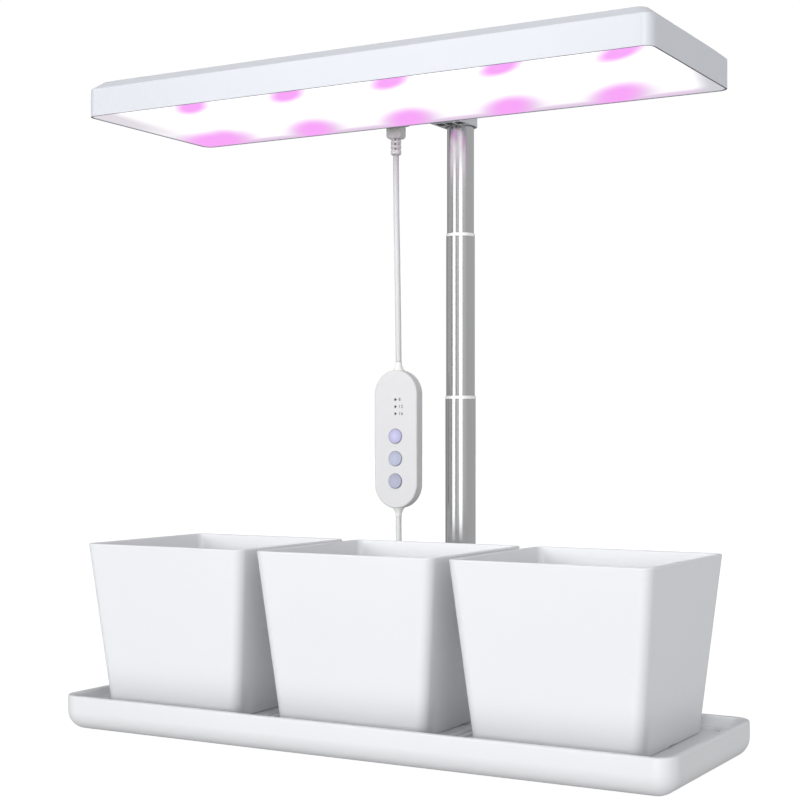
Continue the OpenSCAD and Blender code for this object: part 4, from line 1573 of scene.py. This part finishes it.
@dataclass
class TelescopicPole:
    """Three drawn tubes with bright rings on their mouths."""

    wall: float = 0.45 * MM
    skirt: float = 0.6 * MM
    skirt_thickness: float = 0.08 * MM
    chamfer: float = 0.25 * MM
    steps: int = 96
    play: float = 0.05 * MM

    def turn(
        self, node: str, outline: list[Span], name: str, finish: Finish, body: str, slot: str
    ) -> None:
        """Turns a closed outline about the pole.

        Args:
            node: the node that the piece stands for.
            outline: (radius, height) points, the last as the first.
            name: the piece's name.
            finish: its finish.
            body: the body that it belongs to.
            slot: not used.
        """
        low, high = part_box(node)
        bm = bmesh.new()
        lathe(bm, outline, self.steps)
        shift(bm, (0, (low.y + high.y) / 2, 0))
        settle(as_object(bm, name, finish), body, [node])

    def tube(self, node: str, body: str) -> None:
        """One tube with its two edges broken.

        Args:
            node: the tube's node.
            body: the body that it belongs to.
        """
        low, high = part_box(node)
        radius, c = (high.x - low.x) / 2, self.chamfer / 2
        bore = radius - self.wall
        outline = [
            (bore, low.z), (radius - c, low.z), (radius, low.z + c),
            (radius, high.z - c), (radius - c, high.z), (bore, high.z), (bore, low.z),
        ]
        self.turn(node, outline, node + "_drawn", TUBE_METAL, body, "tube_steel")

    def ring(self, node: str, inner_tube: str, body: str) -> None:
        """The rolled ring on a tube's mouth, with its skirt over the tube.

        Args:
            node: the ring's node.
            inner_tube: the tube that runs through it.
            body: the body that it belongs to.
        """
        low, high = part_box(node)
        slim_low, slim_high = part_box(inner_tube)
        bore = (slim_high.x - slim_low.x) / 2 + self.play
        outer, edge = (high.x - low.x) / 2, (high.z - low.z) / 3
        inside = outer - self.skirt_thickness
        outline = [
            (bore, low.z), (inside, low.z), (inside, low.z - self.skirt),
            (outer, low.z - self.skirt), *rounded_edge(outer, high.z, edge),
            (bore, high.z), (bore, low.z),
        ]
        self.turn(node, outline, node + "_rolled", RING_METAL, body, "ring_steel")

    def build(self) -> None:
        """Makes the tubes and rings."""
        self.tube("tube_lower", "base")
        self.tube("tube_middle", "pole_middle")
        self.tube("tube_upper", "lamp")
        self.ring("mouth_ring_lower", "tube_middle", "base")
        self.ring("mouth_ring_middle", "tube_upper", "pole_middle")


# --- Lamp ----------------------------------------------------------------------------------


NECK_WIDTH = 8.0 * MM
NECK_HEIGHT = 3.4 * MM
NECK_DROP = 3.2 * MM


@dataclass
class GrowLamp:
    """The flat lamp: its housing with posts and screw bosses, and the lit diffuser."""

    corner: float = 6.0 * MM
    bevel_in: float = 5.8 * MM
    bevel_drop: float = 4.7 * MM
    corner_loss: float = 0.2
    wall: float = 2.8 * MM
    lip: float = 1.1 * MM
    roof: float = 2.0 * MM
    ledge: float = 2.3 * MM
    post_x: float = 151.5 * MM
    post_y: float = 24.6 * MM
    post_radius: float = 4.0 * MM
    post_height: float = 8.3 * MM
    screw_radius: float = 1.55 * MM
    boss_x: float = 16.5 * MM
    boss_rise: float = 8.5 * MM
    boss_radius: float = 3.2 * MM
    boss_length: float = 6.0 * MM
    boss_skin: float = 1.0 * MM
    slot_play: float = 0.1 * MM
    slot_depth: float = 4.0 * MM
    rim_edge: float = 0.25 * MM
    sheet_edge: float = 0.3 * MM
    shade_band_height: float = 0.05 * MM
    bevel_edges: Span = (0.7 * MM, 0.35 * MM)
    rows: tuple[GlowRow, ...] = (
        GlowRow(-103.5 * MM, -60 * MM, 63.8 * MM, 0.72, 14 * MM, 30 * MM, 20 * MM),
        GlowRow(-142.5 * MM, 25 * MM, 64.9 * MM, 0.50, 19 * MM, 31 * MM, 60 * MM, 0.9),
        GlowRow(-151.0 * MM, 26 * MM, 64.9 * MM, 0.50, 34 * MM, 30 * MM, 60 * MM, 0.9, 1),
    )
    haze: GlowRow = GlowRow(-148.0 * MM, 36 * MM, 65.3 * MM, 0.50, 33 * MM, 42 * MM, 40 * MM, 0.9)

    def bevel_steps(self) -> list[tuple[float, float]]:
        """The bevel's section from the side wall to the top, with both its edges eased.

        Returns:
            How far in and how far down from the top each step lies.
        """
        slope = math.atan2(self.bevel_drop, self.bevel_in)
        steps = []
        for radius, start, end, corner in (
            (self.bevel_edges[0], math.pi / 2, slope, (0.0, self.bevel_drop)),
            (self.bevel_edges[1], slope, 0.0, (self.bevel_in, 0.0)),
        ):
            reach = radius * math.tan((start - end) / 2)
            inward = corner[0] - reach * math.cos(start) + radius * math.sin(start)
            down = corner[1] + reach * math.sin(start) + radius * math.cos(start)
            for k in range(5):
                turn = start + (end - start) * k / 4
                steps.append((inward - radius * math.sin(turn), down - radius * math.cos(turn)))
        return steps

    def housing(self) -> None:
        """The shell, open below, with the bevel round its top."""
        low, _, foot, size = node_box("lamp_housing")
        steps = self.bevel_steps()
        bm = bmesh.new()
        top = slab(bm, foot, (size[0], size[1], size[2] - steps[0][1]), self.corner, 12)
        for (was_in, was_down), (inward, down) in zip(steps, steps[1:]):
            top = shrink(bm, top, inward - was_in)
            fit_corners(top, self.corner * (1 - self.corner_loss * inward / self.bevel_in))
            bmesh.ops.translate(bm, vec=(0, 0, was_down - down), verts=top.verts[:])
        opening = shrink(bm, underside(bm), self.lip)
        seat = pull(bm, opening, (0, 0, self.ledge))
        cavity = shrink(bm, seat, self.wall - self.lip)
        upper = pull(bm, cavity, (0, 0, size[2] - self.ledge - self.roof - self.bevel_drop))
        for _ in range(2):
            upper = shrink(bm, upper, self.bevel_in / 3)
            fit_corners(upper, self.corner - self.wall)
        pull(bm, upper, (0, 0, self.bevel_drop))
        ease(bm, low.z, self.rim_edge, 2)
        self.shell = as_object(bm, "lamp_shell", LAMP_PLASTIC)

    def add_posts(self) -> None:
        """Joins the four posts of the LED board and the two screw bosses of the bracket."""
        low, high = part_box("lamp_housing")
        roof, middle_y = high.z - self.roof, (low.y + high.y) / 2
        rows = (middle_y - self.post_y, middle_y + self.post_y)
        posts = [(sx * self.post_x, y) for sx in (-1, 1) for y in rows]
        for radius, top, operation in (
            (self.post_radius, roof + self.roof / 2, "UNION"),
            (self.screw_radius, roof, "DIFFERENCE"),
        ):
            with tool_for(self.shell, operation) as bm:
                for x, y in posts:
                    rod(bm, x, y, roof - self.post_height, top, radius)
        depth = self.wall + self.boss_length
        for radius, start, operation in (
            (self.boss_radius, -self.wall / 2, "UNION"),
            (self.screw_radius, self.boss_skin, "DIFFERENCE"),
        ):
            with tool_for(self.shell, operation) as bm:
                z = low.z + self.boss_rise
                cross_rods(bm, self.boss_x, high.y, z, (start, depth), radius)

    def cut_slot(self) -> None:
        """Cuts the slot that the inlet's neck passes through."""
        low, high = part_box("power_inlet")
        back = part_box("lamp_housing")[1].y
        x, z = (low.x + high.x) / 2, high.z - NECK_DROP
        half, rise = NECK_WIDTH / 2 + self.slot_play, NECK_HEIGHT / 2 + self.slot_play
        with tool_for(self.shell, "DIFFERENCE") as bm:
            start, end = back - self.slot_depth, back + OVERCUT
            block(bm, (x - half, start, z - rise), (x + half, end, z + rise), 0.3 * MM)

    def diffuser(self) -> None:
        """The lit sheet under the lamp."""
        low, _, foot, size = node_box("lamp_diffuser")
        bm = bmesh.new()
        slab(bm, foot, size, self.corner - self.lip, 12)
        ease(bm, low.z, self.sheet_edge, 2)
        sheet = as_object(bm, "diffuser_sheet", LitDiffuser("diffuser_lit", self.rows, self.haze))
        settle(sheet, "lamp", ["lamp_diffuser"])

    def build(self) -> None:
        """Makes the lamp's pieces."""
        self.housing()
        self.add_posts()
        self.cut_slot()
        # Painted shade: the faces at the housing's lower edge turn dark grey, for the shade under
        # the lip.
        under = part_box("lamp_housing")[0].z + self.shade_band_height
        tint_faces(self.shell, LAMP_LIP_SHADE, lambda centre: centre.z < under)
        settle(self.shell, "lamp", ["lamp_housing"])
        self.diffuser()


@dataclass
class PoleBracket:
    """The bracket behind the lamp: a hollow round-ended lug with a flange."""

    lug_radius: float = 10.0 * MM
    flange_thickness: float = 2.5 * MM
    flange_width: float = 44.0 * MM
    flange_height: float = 12.0 * MM
    flange_rise: float = 2.5 * MM
    flange_corner: float = 2.5 * MM
    flange_edge: float = 0.5 * MM
    screw_x: float = 16.5 * MM
    screw_radius: float = 1.6 * MM
    bore: float = 8.05 * MM
    bore_height: float = 14.0 * MM
    mouth: float = 9.0 * MM
    mouth_height: float = 1.3 * MM
    pocket_wall: float = 1.5 * MM
    pocket_height: float = 9.0 * MM
    pocket_rib: float = 1.0 * MM
    pocket_gap: float = 0.8 * MM
    pocket_corner: float = 0.6 * MM
    top_edge: float = 1.0 * MM
    screw_reach: float = 5.0 * MM

    def add_flange(self) -> None:
        """Joins the flange that stands against the lamp's back."""
        with tool_for(self.lug, "UNION") as bm:
            size = (self.flange_width, self.flange_height, self.flange_thickness)
            slab(bm, (0, 0, 0), size, self.flange_corner, 5)
            ease(bm, 0.0, self.flange_edge)
            swing(bm, 90)
            shift(bm, (0, self.back + self.flange_thickness, self.flange_middle))

    def hollow(self) -> None:
        """Bores the lug for the tube and its screw, and hollows it from below."""
        for radius, low, high in (
            (self.bore, self.base - OVERCUT, self.base + self.bore_height),
            (self.mouth, self.base - OVERCUT, self.base + self.mouth_height),
            (self.screw_radius, self.base, self.top + OVERCUT),
        ):
            with tool_for(self.lug, "DIFFERENCE") as bm:
                rod(bm, 0, self.pole_y, low, high, radius)
        start = self.back + self.flange_thickness + self.pocket_gap
        end = self.pole_y - self.bore - self.pocket_wall
        width = (2 * (self.lug_radius - self.pocket_wall) - 2 * self.pocket_rib) / 3
        for place in (-1, 0, 1):
            x = place * (width + self.pocket_rib)
            near = (x - width / 2, start, self.base - OVERCUT)
            far = (x + width / 2, end, self.base + self.pocket_height)
            with tool_for(self.lug, "DIFFERENCE") as bm:
                block(bm, near, far, self.pocket_corner)
        with tool_for(self.lug, "DIFFERENCE") as bm:
            ends = (-self.screw_reach, self.screw_reach)
            cross_rods(bm, self.screw_x, self.back, self.flange_middle, ends, self.screw_radius)

    def shade_pockets(self) -> None:
        """Paints shade on the walls of the pockets."""
        bottom, top = self.base + 0.2 * MM, self.base + self.pocket_height + 0.1 * MM
        reach = self.lug_radius - self.pocket_wall + 0.05 * MM
        near = self.back + self.flange_thickness + 0.7 * MM
        far = self.pole_y - self.bore - 1.4 * MM
        tint_faces(
            self.lug, HOLLOW_SHADE,
            lambda co: bottom < co.z < top and abs(co.x) < reach and near < co.y < far,
        )

    def build(self) -> None:
        """Makes the bracket."""
        low, high, foot, size = node_box("lamp_bracket")
        self.back, self.base, self.top = low.y, low.z, high.z
        self.pole_y = high.y - self.lug_radius
        self.flange_middle = self.base + self.flange_rise + self.flange_height / 2
        bm = bmesh.new()
        wanted = (2 * self.lug_radius, *size[1:])
        slab(bm, (0, *foot[1:]), wanted, self.lug_radius, 24, back_only=True)
        ease(bm, high.z, self.top_edge, 4)
        self.lug = as_object(bm, "pole_bracket", BRACKET_PLASTIC)
        self.add_flange()
        self.hollow()
        self.shade_pockets()
        settle(self.lug, "lamp", ["lamp_bracket"])


@dataclass
class LampPower:
    """The inlet on the lamp's back, the plug in it and the plug's ribbed relief."""

    neck_length: float = 6.0 * MM
    corner: float = 2.5 * MM
    nose: Point = (8.0 * MM, 4.5 * MM, 8.0 * MM)
    nose_play: float = 0.1 * MM
    nose_corner: float = 0.5 * MM
    grip_corner: float = 0.4 * MM
    taper: float = 1.5 * MM
    taper_scale: tuple[float, float] = (0.75, 0.97)
    core: float = 1.85 * MM
    cord_radius: float = 1.75 * MM
    groove: float = 1.15 * MM
    tip: float = 1.0 * MM
    ribs: int = 3
    bridge: float = 1.1 * MM
    bridge_turns: tuple[float, ...] = (50.0, 110.0, 170.0)
    inlet_edge: float = 0.6 * MM
    tip_edge: float = 0.3 * MM
    rib_edge: float = 0.3 * MM

    def inlet(self) -> None:
        """The inlet: a box with rounded edges, its neck and the socket for the nose."""
        low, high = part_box("power_inlet")
        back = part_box("lamp_housing")[1].y
        x, z = (low.x + high.x) / 2, high.z - NECK_DROP
        bm = bmesh.new()
        foot = (x, (back + high.y) / 2, low.z)
        size = (high.x - low.x, high.y - back, high.z - low.z)
        slab(bm, foot, size, self.corner, 8, back_only=True)
        face_out(bm)
        for level in (low.z, high.z):
            edges = crease_edges(bm, lambda co: at_height(level)(co) and co.y > back + 1e-5)
            round_off(bm, edges, self.inlet_edge)
        piece = as_object(bm, "inlet_box", LAMP_PLASTIC)
        with tool_for(piece, "UNION") as bm:
            near = (x - NECK_WIDTH / 2, back - self.neck_length, z - NECK_HEIGHT / 2)
            block(bm, near, (x + NECK_WIDTH / 2, back + 1 * MM, z + NECK_HEIGHT / 2))
        y = sum(corner.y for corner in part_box("lamp_plug")) / 2
        half_x, half_y = (side / 2 + self.nose_play for side in self.nose[:2])
        with tool_for(piece, "DIFFERENCE") as bm:
            near = (x - half_x, y - half_y, low.z - OVERCUT)
            far = (x + half_x, y + half_y, low.z + self.nose[2] + 0.5 * MM)
            block(bm, near, far, self.nose_corner)
        settle(piece, "lamp", ["power_inlet"])

    def plug(self) -> None:
        """The plug: a grip with softened edges that tapers below, and the nose above."""
        low, high, (x, y, _), size = node_box("lamp_plug")
        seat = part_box("power_inlet")[0].z
        bm = bmesh.new()
        wanted = (*size[:2], seat - low.z - self.taper)
        slab(bm, (x, y, low.z + self.taper), wanted, self.grip_corner, 5)
        tip = pull(bm, underside(bm), (0, 0, -self.taper))
        bmesh.ops.scale(
            bm, vec=(*self.taper_scale, 1.0), verts=tip.verts[:],
            space=Matrix.Translation((-x, -y, 0)),
        )
        ease(bm, low.z, self.tip_edge, least=40)
        piece = as_object(bm, "plug_grip", PLUG_PLASTIC)
        half_x, half_y = self.nose[0] / 2, self.nose[1] / 2
        with tool_for(piece, "UNION") as bm:
            near = (x - half_x, y - half_y, seat - 1 * MM)
            block(bm, near, (x + half_x, y + half_y, high.z), self.nose_corner)
        settle(piece, "lamp", ["lamp_plug"])

    def relief(self) -> None:
        """The relief: rings with six short slits between each two."""
        _, _, foot, size = node_box("lamp_plug_relief")
        radius, height, soft = size[0] / 2, size[2], self.rib_edge
        pitch = (height - self.tip) / self.ribs
        outline = [(self.cord_radius, 0), (radius - 0.5 * MM, 0), (radius - 0.2 * MM, soft)]
        for k in range(self.ribs):
            start = self.tip + k * pitch - (self.tip - soft if k == 0 else 0)
            end = self.tip + (k + 1) * pitch - self.groove
            outline += [
                (radius - soft, start), (radius, start + soft), (radius, end - soft),
                (radius - soft, end), (self.core, end), (self.core, end + self.groove),
            ]
        outline += [(self.cord_radius, height), (self.cord_radius, 0)]
        bm = bmesh.new()
        lathe(bm, outline, 48)
        piece = as_object(bm, "plug_relief", RELIEF_RUBBER)
        half_x, half_y = self.bridge / 2, radius - 0.2 * MM
        for k in range(self.ribs):
            top = self.tip + (k + 1) * pitch
            start, end = top - self.groove - soft, min(top + soft, height)
            for turn in self.bridge_turns:
                with tool_for(piece, "UNION") as bm:
                    block(bm, (-half_x, -half_y, start), (half_x, half_y, end))
                    swing(bm, turn, "Z")
        with tool_for(piece, "DIFFERENCE") as bm:
            rod(bm, 0, 0, -OVERCUT, height + OVERCUT, self.cord_radius)
        # Painted shade: the faces of the slit cores turn dark grey.
        inside, outside = self.cord_radius + 0.03 * MM, self.core + 0.05 * MM
        tint_faces(
            piece, HOLLOW_SHADE,
            lambda co: inside < math.hypot(co.x, co.y) < outside and co.z > self.tip,
        )
        piece.data.transform(Matrix.Translation(foot))
        settle(piece, "lamp", ["lamp_plug_relief"])

    def build(self) -> None:
        """Makes the three pieces."""
        self.inlet()
        self.plug()
        self.relief()


# --- USB plug ------------------------------------------------------------------------------


@dataclass
class UsbPlug:
    """The USB plug that lies behind the tray: a softened grip with its neck, and the shell."""

    neck: float = 5.0 * MM
    neck_play: float = 0.3 * MM
    grip: Point = (20.0 * MM, 15.0 * MM, 7.4 * MM)
    grip_corner: float = 2.45 * MM
    grip_edge: float = 0.9 * MM
    shell_wall: float = 0.4 * MM
    window: float = 2.2 * MM
    window_reach: float = 2.6 * MM
    window_back: float = 1.0 * MM
    tongue_root: float = 1.0 * MM
    cord_radius: float = 1.75 * MM
    neck_step: float = 0.4 * MM
    neck_seat: float = 1.0 * MM

    def __post_init__(self) -> None:
        """Takes its place from the frame."""
        low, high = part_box("usb_plug")
        self.start = Vector((low.x, (low.y + high.y) / 2, (low.z + high.z) / 2))
        self.end = high.x

    def handle(self) -> None:
        """The grip and the tapered neck."""
        length, width, height = self.grip
        bm = bmesh.new()
        slab(bm, (0, 0, 0), (height, width, length), self.grip_corner, 8)
        for z in (0.0, length):
            ease(bm, z, self.grip_edge, 4)
        piece = as_object(bm, "usb_grip", USB_PLASTIC)
        thin, thick = self.cord_radius + self.neck_play, height / 2 - self.neck_step
        outline = [(0, -self.neck), (thin, -self.neck)]
        for k in range(7):
            share = k / 6
            outline.append((thin + (thick - thin) * share**1.6, self.neck * (share - 1)))
        outline += [(thick - self.neck_play, self.neck_seat), (0, self.neck_seat)]
        with tool_for(piece, "UNION") as bm:
            lathe(bm, outline, 40)
        turned = Matrix.Rotation(math.radians(90), 4, "Y")
        place = Matrix.Translation(self.start + Vector((self.neck, 0, 0)))
        piece.data.transform(place @ turned)
        settle(piece, "base", ["usb_plug"])

    def shell(self) -> None:
        """The folded shell with its tongue and its two windows."""
        low, high, (middle_x, y, _), _ = node_box("usb_shell")
        z = (low.z + high.z) / 2
        bm = bmesh.new()
        block(bm, tuple(low), tuple(high))
        piece = as_object(bm, "usb_folded_shell", USB_METAL)
        wall, half = self.shell_wall, self.window / 2
        with tool_for(piece, "DIFFERENCE") as bm:
            near = (low.x + self.tongue_root, low.y + wall, z)
            block(bm, near, (high.x + OVERCUT, high.y - wall, high.z - wall))
        for side in (-1, 1):
            x, across = middle_x - self.window_back, y + side * self.window_reach
            with tool_for(piece, "DIFFERENCE") as bm:
                near = (x - half, across - half, z + 1 * MM)
                block(bm, near, (x + half, across + half, high.z + OVERCUT))
        settle(piece, "base", ["usb_shell"])

    def build(self) -> None:
        """Makes both pieces."""
        self.handle()
        self.shell()


# --- Controller ----------------------------------------------------------------------------


@dataclass
class TimerController:
    """The flat controller on the cord, built lying on its back and then stood up."""

    wall: float = 1.5 * MM
    face: float = 4.0 * MM
    seam: float = -1.0 * MM
    front_edge: float = 1.0 * MM
    back_edge: float = 1.6 * MM
    seam_edge: float = 0.12 * MM
    board_top: float = -1.3 * MM
    post_y: float = 32.7 * MM
    post_radius: float = 2.3 * MM
    screw_radius: float = 0.95 * MM
    head_radius: float = 1.95 * MM
    head_height: float = 1.0 * MM
    button_radius: float = 4.35 * MM
    button_play: float = 0.1 * MM
    button_proud: float = 0.7 * MM
    button_edge: float = 0.6 * MM
    button_dish: float = 0.12 * MM
    flange_radius: float = 5.15 * MM
    flange_low: float = 1.5 * MM
    flange_high: float = 2.3 * MM
    indicator_radius: float = 0.65 * MM
    indicator_play: float = 0.1 * MM
    indicator_dome: float = 0.15 * MM
    hole_chamfers: Span = (0.3 * MM, 0.1 * MM)
    button_rows: tuple[float, ...] = (1.8 * MM, -11.6 * MM, -25.0 * MM)
    indicator_rows: tuple[float, ...] = (23.6 * MM, 19.4 * MM, 15.2 * MM)
    numbers: tuple[str, ...] = ("8", "12", "16")
    number_start: float = 2.3 * MM
    number_height: float = 2.7 * MM
    ink: float = 0.015 * MM
    boldness: float = 0.03 * MM
    boot_radius: float = 3.6 * MM
    boot_arc: float = 8.0 * MM
    boot_tip: float = 1.9 * MM
    boot_seat: float = 3.0 * MM
    boot_start: float = 0.6 * MM

    def __post_init__(self) -> None:
        """Takes its outline and its place from the frame."""
        low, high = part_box("controller_front")
        self.width, self.height = high.x - low.x, high.z - low.z
        place = ((low.x + high.x) / 2, low.y + self.face, (low.z + high.z) / 2)
        self.stand = Matrix.Translation(place) @ Matrix.Rotation(math.radians(90), 4, "X")

    def stand_up(
        self, piece: bpy.types.Object, body: str, nodes: Sequence[str] = ()
    ) -> None:
        """Stands a finished piece up in its place and settles it.

        Args:
            piece: the piece, lying on its back.
            body: the body that it moves with.
            nodes: the nodes that it replaces.
        """
        piece.data.transform(self.stand)
        settle(piece, body, nodes)

    def half_shell(self, name: str, low: float, high: float, edge: float) -> bpy.types.Object:
        """One shell: a rounded slot-shaped pan, open at the seam.

        Args:
            name: its name.
            low: its lowest face.
            high: its highest face.
            edge: the radius of its outer edge.

        Returns:
            The piece, lying on its back.
        """
        outer = high if high > self.seam else low
        bm = bmesh.new()
        size = (self.width, self.height, high - low)
        top = slab(bm, (0, 0, low), size, self.width / 2, 24)
        face_out(bm)
        opening = shrink(bm, underside(bm) if outer == high else top, self.wall)
        depth = outer - self.seam - math.copysign(self.wall, outer - self.seam)
        pull(bm, opening, (0, 0, depth))
        ease(bm, outer, edge, 6)
        ease(bm, self.seam, self.seam_edge, 1)
        return as_object(bm, name, CONTROLLER_PLASTIC)

    def bore_pair(
        self, shell: bpy.types.Object, ends: Span, radius: float, operation: str = "DIFFERENCE"
    ) -> None:
        """Cuts a bore at each of the two screws, or joins a post there.

        Args:
            shell: the shell.
            ends: where the bore or post starts and ends.
            radius: its radius.
            operation: DIFFERENCE for a bore, UNION for a post.
        """
        with tool_for(shell, operation) as bm:
            for y in (-self.post_y, self.post_y):
                rod(bm, 0, y, *ends, radius)

    def front(self) -> None:
        """The front shell with its posts and its six holes."""
        shell = self.half_shell("controller_face_shell", self.seam, self.face, self.front_edge)
        inside = self.face - self.wall
        self.bore_pair(shell, (self.board_top, inside + self.wall / 2), self.post_radius, "UNION")
        self.bore_pair(shell, (self.board_top - OVERCUT, inside), self.screw_radius)
        wide, narrow = self.hole_chamfers
        key_hole = self.button_radius + self.button_play
        guide_hole = self.indicator_radius + self.indicator_play
        holes = [(y, key_hole, wide) for y in self.button_rows]
        holes += [(y, guide_hole, narrow) for y in self.indicator_rows]
        for y, radius, chamfer in holes:
            with tool_for(shell, "DIFFERENCE") as bm:
                rod(bm, 0, y, 0.0, self.face + 2 * MM, radius)
            with tool_for(shell, "DIFFERENCE") as bm:
                rod(bm, 0, y, self.face - chamfer, self.face + chamfer, radius, 2 * chamfer)
        self.stand_up(shell, "pole_middle", ["controller_front"])

    def back(self) -> None:
        """The back shell with its two sunk screw holes."""
        shell = self.half_shell("controller_back_shell", -self.face, self.seam, self.back_edge)
        bores = (self.screw_radius, 2 * self.wall), (self.head_radius, self.head_height)
        for radius, depth in bores:
            self.bore_pair(shell, (-self.face - OVERCUT, -self.face + depth), radius)
        self.stand_up(shell, "pole_middle", ["controller_back"])

    def button(self, key: ButtonKey, y: float) -> None:
        """One button: a shallow dished cap with a flange behind the face.

        Args:
            key: which button.
            y: its place.
        """
        top, reach = self.face + self.button_proud, self.button_radius - self.button_edge
        outline = [
            (0, self.flange_low), (self.flange_radius, self.flange_low),
            (self.flange_radius, self.flange_high), (self.button_radius, self.flange_high),
            *rounded_edge(self.button_radius, top, self.button_edge),
        ]
        for k in range(1, 7):
            share = 1 - k / 6
            outline.append((reach * share, top - self.button_dish * (1 - share**2)))
        bm = bmesh.new()
        lathe(bm, outline, 64)
        shift(bm, (0, y, 0))
        piece = as_object(bm, key.value + "_cap", BUTTON_FINISHES[key])
        self.stand_up(piece, key.value, [key.value])

    def indicators(self) -> None:
        """The three light guides, domed at the face."""
        radius, dome = self.indicator_radius, self.indicator_dome
        outline = [
            (0, self.board_top), (radius, self.board_top), (radius, self.face - dome),
            (radius * 0.85, self.face - dome * 0.4), (radius * 0.5, self.face - dome * 0.1),
            (0, self.face),
        ]
        bm = bmesh.new()
        for y in self.indicator_rows:
            part = bmesh.new()
            lathe(part, outline, 24)
            shift(part, (0, y, 0))
            self._merge(bm, part)
        piece = as_object(bm, "indicator_guides", INDICATOR_PLASTIC)
        self.stand_up(piece, "pole_middle", ["controller_indicators"])

    @staticmethod
    def _merge(bm: bmesh.types.BMesh, part: bmesh.types.BMesh) -> None:
        """Adds a finished part to a mesh.

        Args:
            bm: the mesh under construction.
            part: the part, which is freed.
        """
        mesh = bpy.data.meshes.new("part")
        part.to_mesh(mesh)
        part.free()
        bm.from_mesh(mesh)
        bpy.data.meshes.remove(mesh)

    def print_numbers(self) -> None:
        """The plain numbers of hours beside the indicators."""
        bm = bmesh.new()
        for number, y in zip(self.numbers, self.indicator_rows):
            curve = bpy.data.curves.new("number", "FONT")
            curve.body = number
            curve.size = self.number_height
            curve.extrude = self.ink
            curve.offset = self.boldness
            curve.space_character = 1.2
            curve.align_y = "CENTER"
            mesh = mesh_of_curve(curve)
            mesh.transform(Matrix.Translation((self.number_start, y, self.face + 0.01 * MM)))
            bm.from_mesh(mesh)
            bpy.data.meshes.remove(mesh)
        bmesh.ops.remove_doubles(bm, verts=bm.verts[:], dist=WELD)
        piece = as_object(bm, "hour_numbers", PRINT_INK)
        self.stand_up(piece, "pole_middle")

    def boots(self) -> None:
        """The two trumpet-shaped boots that the cord enters by, seated on the shells."""
        low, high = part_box("controller_boots")
        tip, end = (high.z - low.z) / 2, self.height / 2
        outline = [(0, end - self.boot_seat), (self.boot_radius, end - self.boot_seat)]
        for k in range(13):
            z = end - self.boot_start + (tip - end + self.boot_start) * k / 12
            dip = math.sqrt(max(self.boot_arc**2 - (tip - z) ** 2, 0.0))
            outline.append((min(self.boot_radius, self.boot_tip + self.boot_arc - dip), z))
        outline.append((0, tip))
        bm = bmesh.new()
        for turn in (-90, 90):
            part = bmesh.new()
            lathe(part, outline, 48)
            swing(part, turn)
            self._merge(bm, part)
        piece = as_object(bm, "controller_boot_pair", RELIEF_RUBBER)
        with tool_for(piece, "DIFFERENCE") as bm:
            size = (self.width, self.height, 2 * self.face)
            slab(bm, (0, 0, -self.face), size, self.width / 2, 24)
            ease(bm, self.face, self.front_edge, 6)
            ease(bm, -self.face, self.back_edge, 6)
        self.stand_up(piece, "pole_middle", ["controller_boots"])

    def build(self) -> None:
        """Makes the controller's visible pieces."""
        self.front()
        self.back()
        for key, y in zip(ButtonKey, self.button_rows):
            self.button(key, y)
        self.indicators()
        self.print_numbers()
        self.boots()


# --- Carried-over nodes --------------------------------------------------------------------


NODE_FINISHES: dict[Finish, tuple[str, ...]] = {
    SCREW_METAL: (
        "socket_screw", "head_screw", "board_screws", "bracket_screws", "controller_screws",
    ),
    GUIDE_PLASTIC: ("foot_plug", "guide_middle", "guide_upper", "head_plug"),
    LAMP_BOARD: ("led_board",),
    WHITE_LENS: ("leds_white",),
    MAGENTA_LENS: ("leds_magenta",),
    CONNECTOR_PLASTIC: ("board_connector",),
    LEAD_RUBBER: ("lamp_leads",),
    CONTROL_BOARD: ("controller_board",),
    SWITCH_PLASTIC: ("controller_switches",),
    TIE_BAND: ("cord_tie",),
}


def dress_nodes(nodes: dict[str, bpy.types.Object]) -> None:
    """Gives each CAD node that stays its finish.

    Args:
        nodes: the frame's nodes by name.
    """
    for finish, names in NODE_FINISHES.items():
        for name in names:
            mesh = nodes[name].data
            mesh.materials.clear()
            mesh.materials.append(finish.material())
            LOG.info("%s stays, in %s", name, finish.name)


def main() -> None:
    """Builds the whole scene in order."""
    logging.basicConfig(level=logging.INFO, format="%(message)s")
    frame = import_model()
    studio = Studio()
    studio.camera()
    LampPower().build()
    UsbPlug().build()
    Cord().build()
    studio.build()
    DripTray().build()
    for place in PotPlace:
        SquarePot(place).build()
    TelescopicPole().build()
    GrowLamp().build()
    PoleBracket().build()
    TimerController().build()
    dress_nodes(frame["nodes"])


if __name__ == "__main__":
    main()
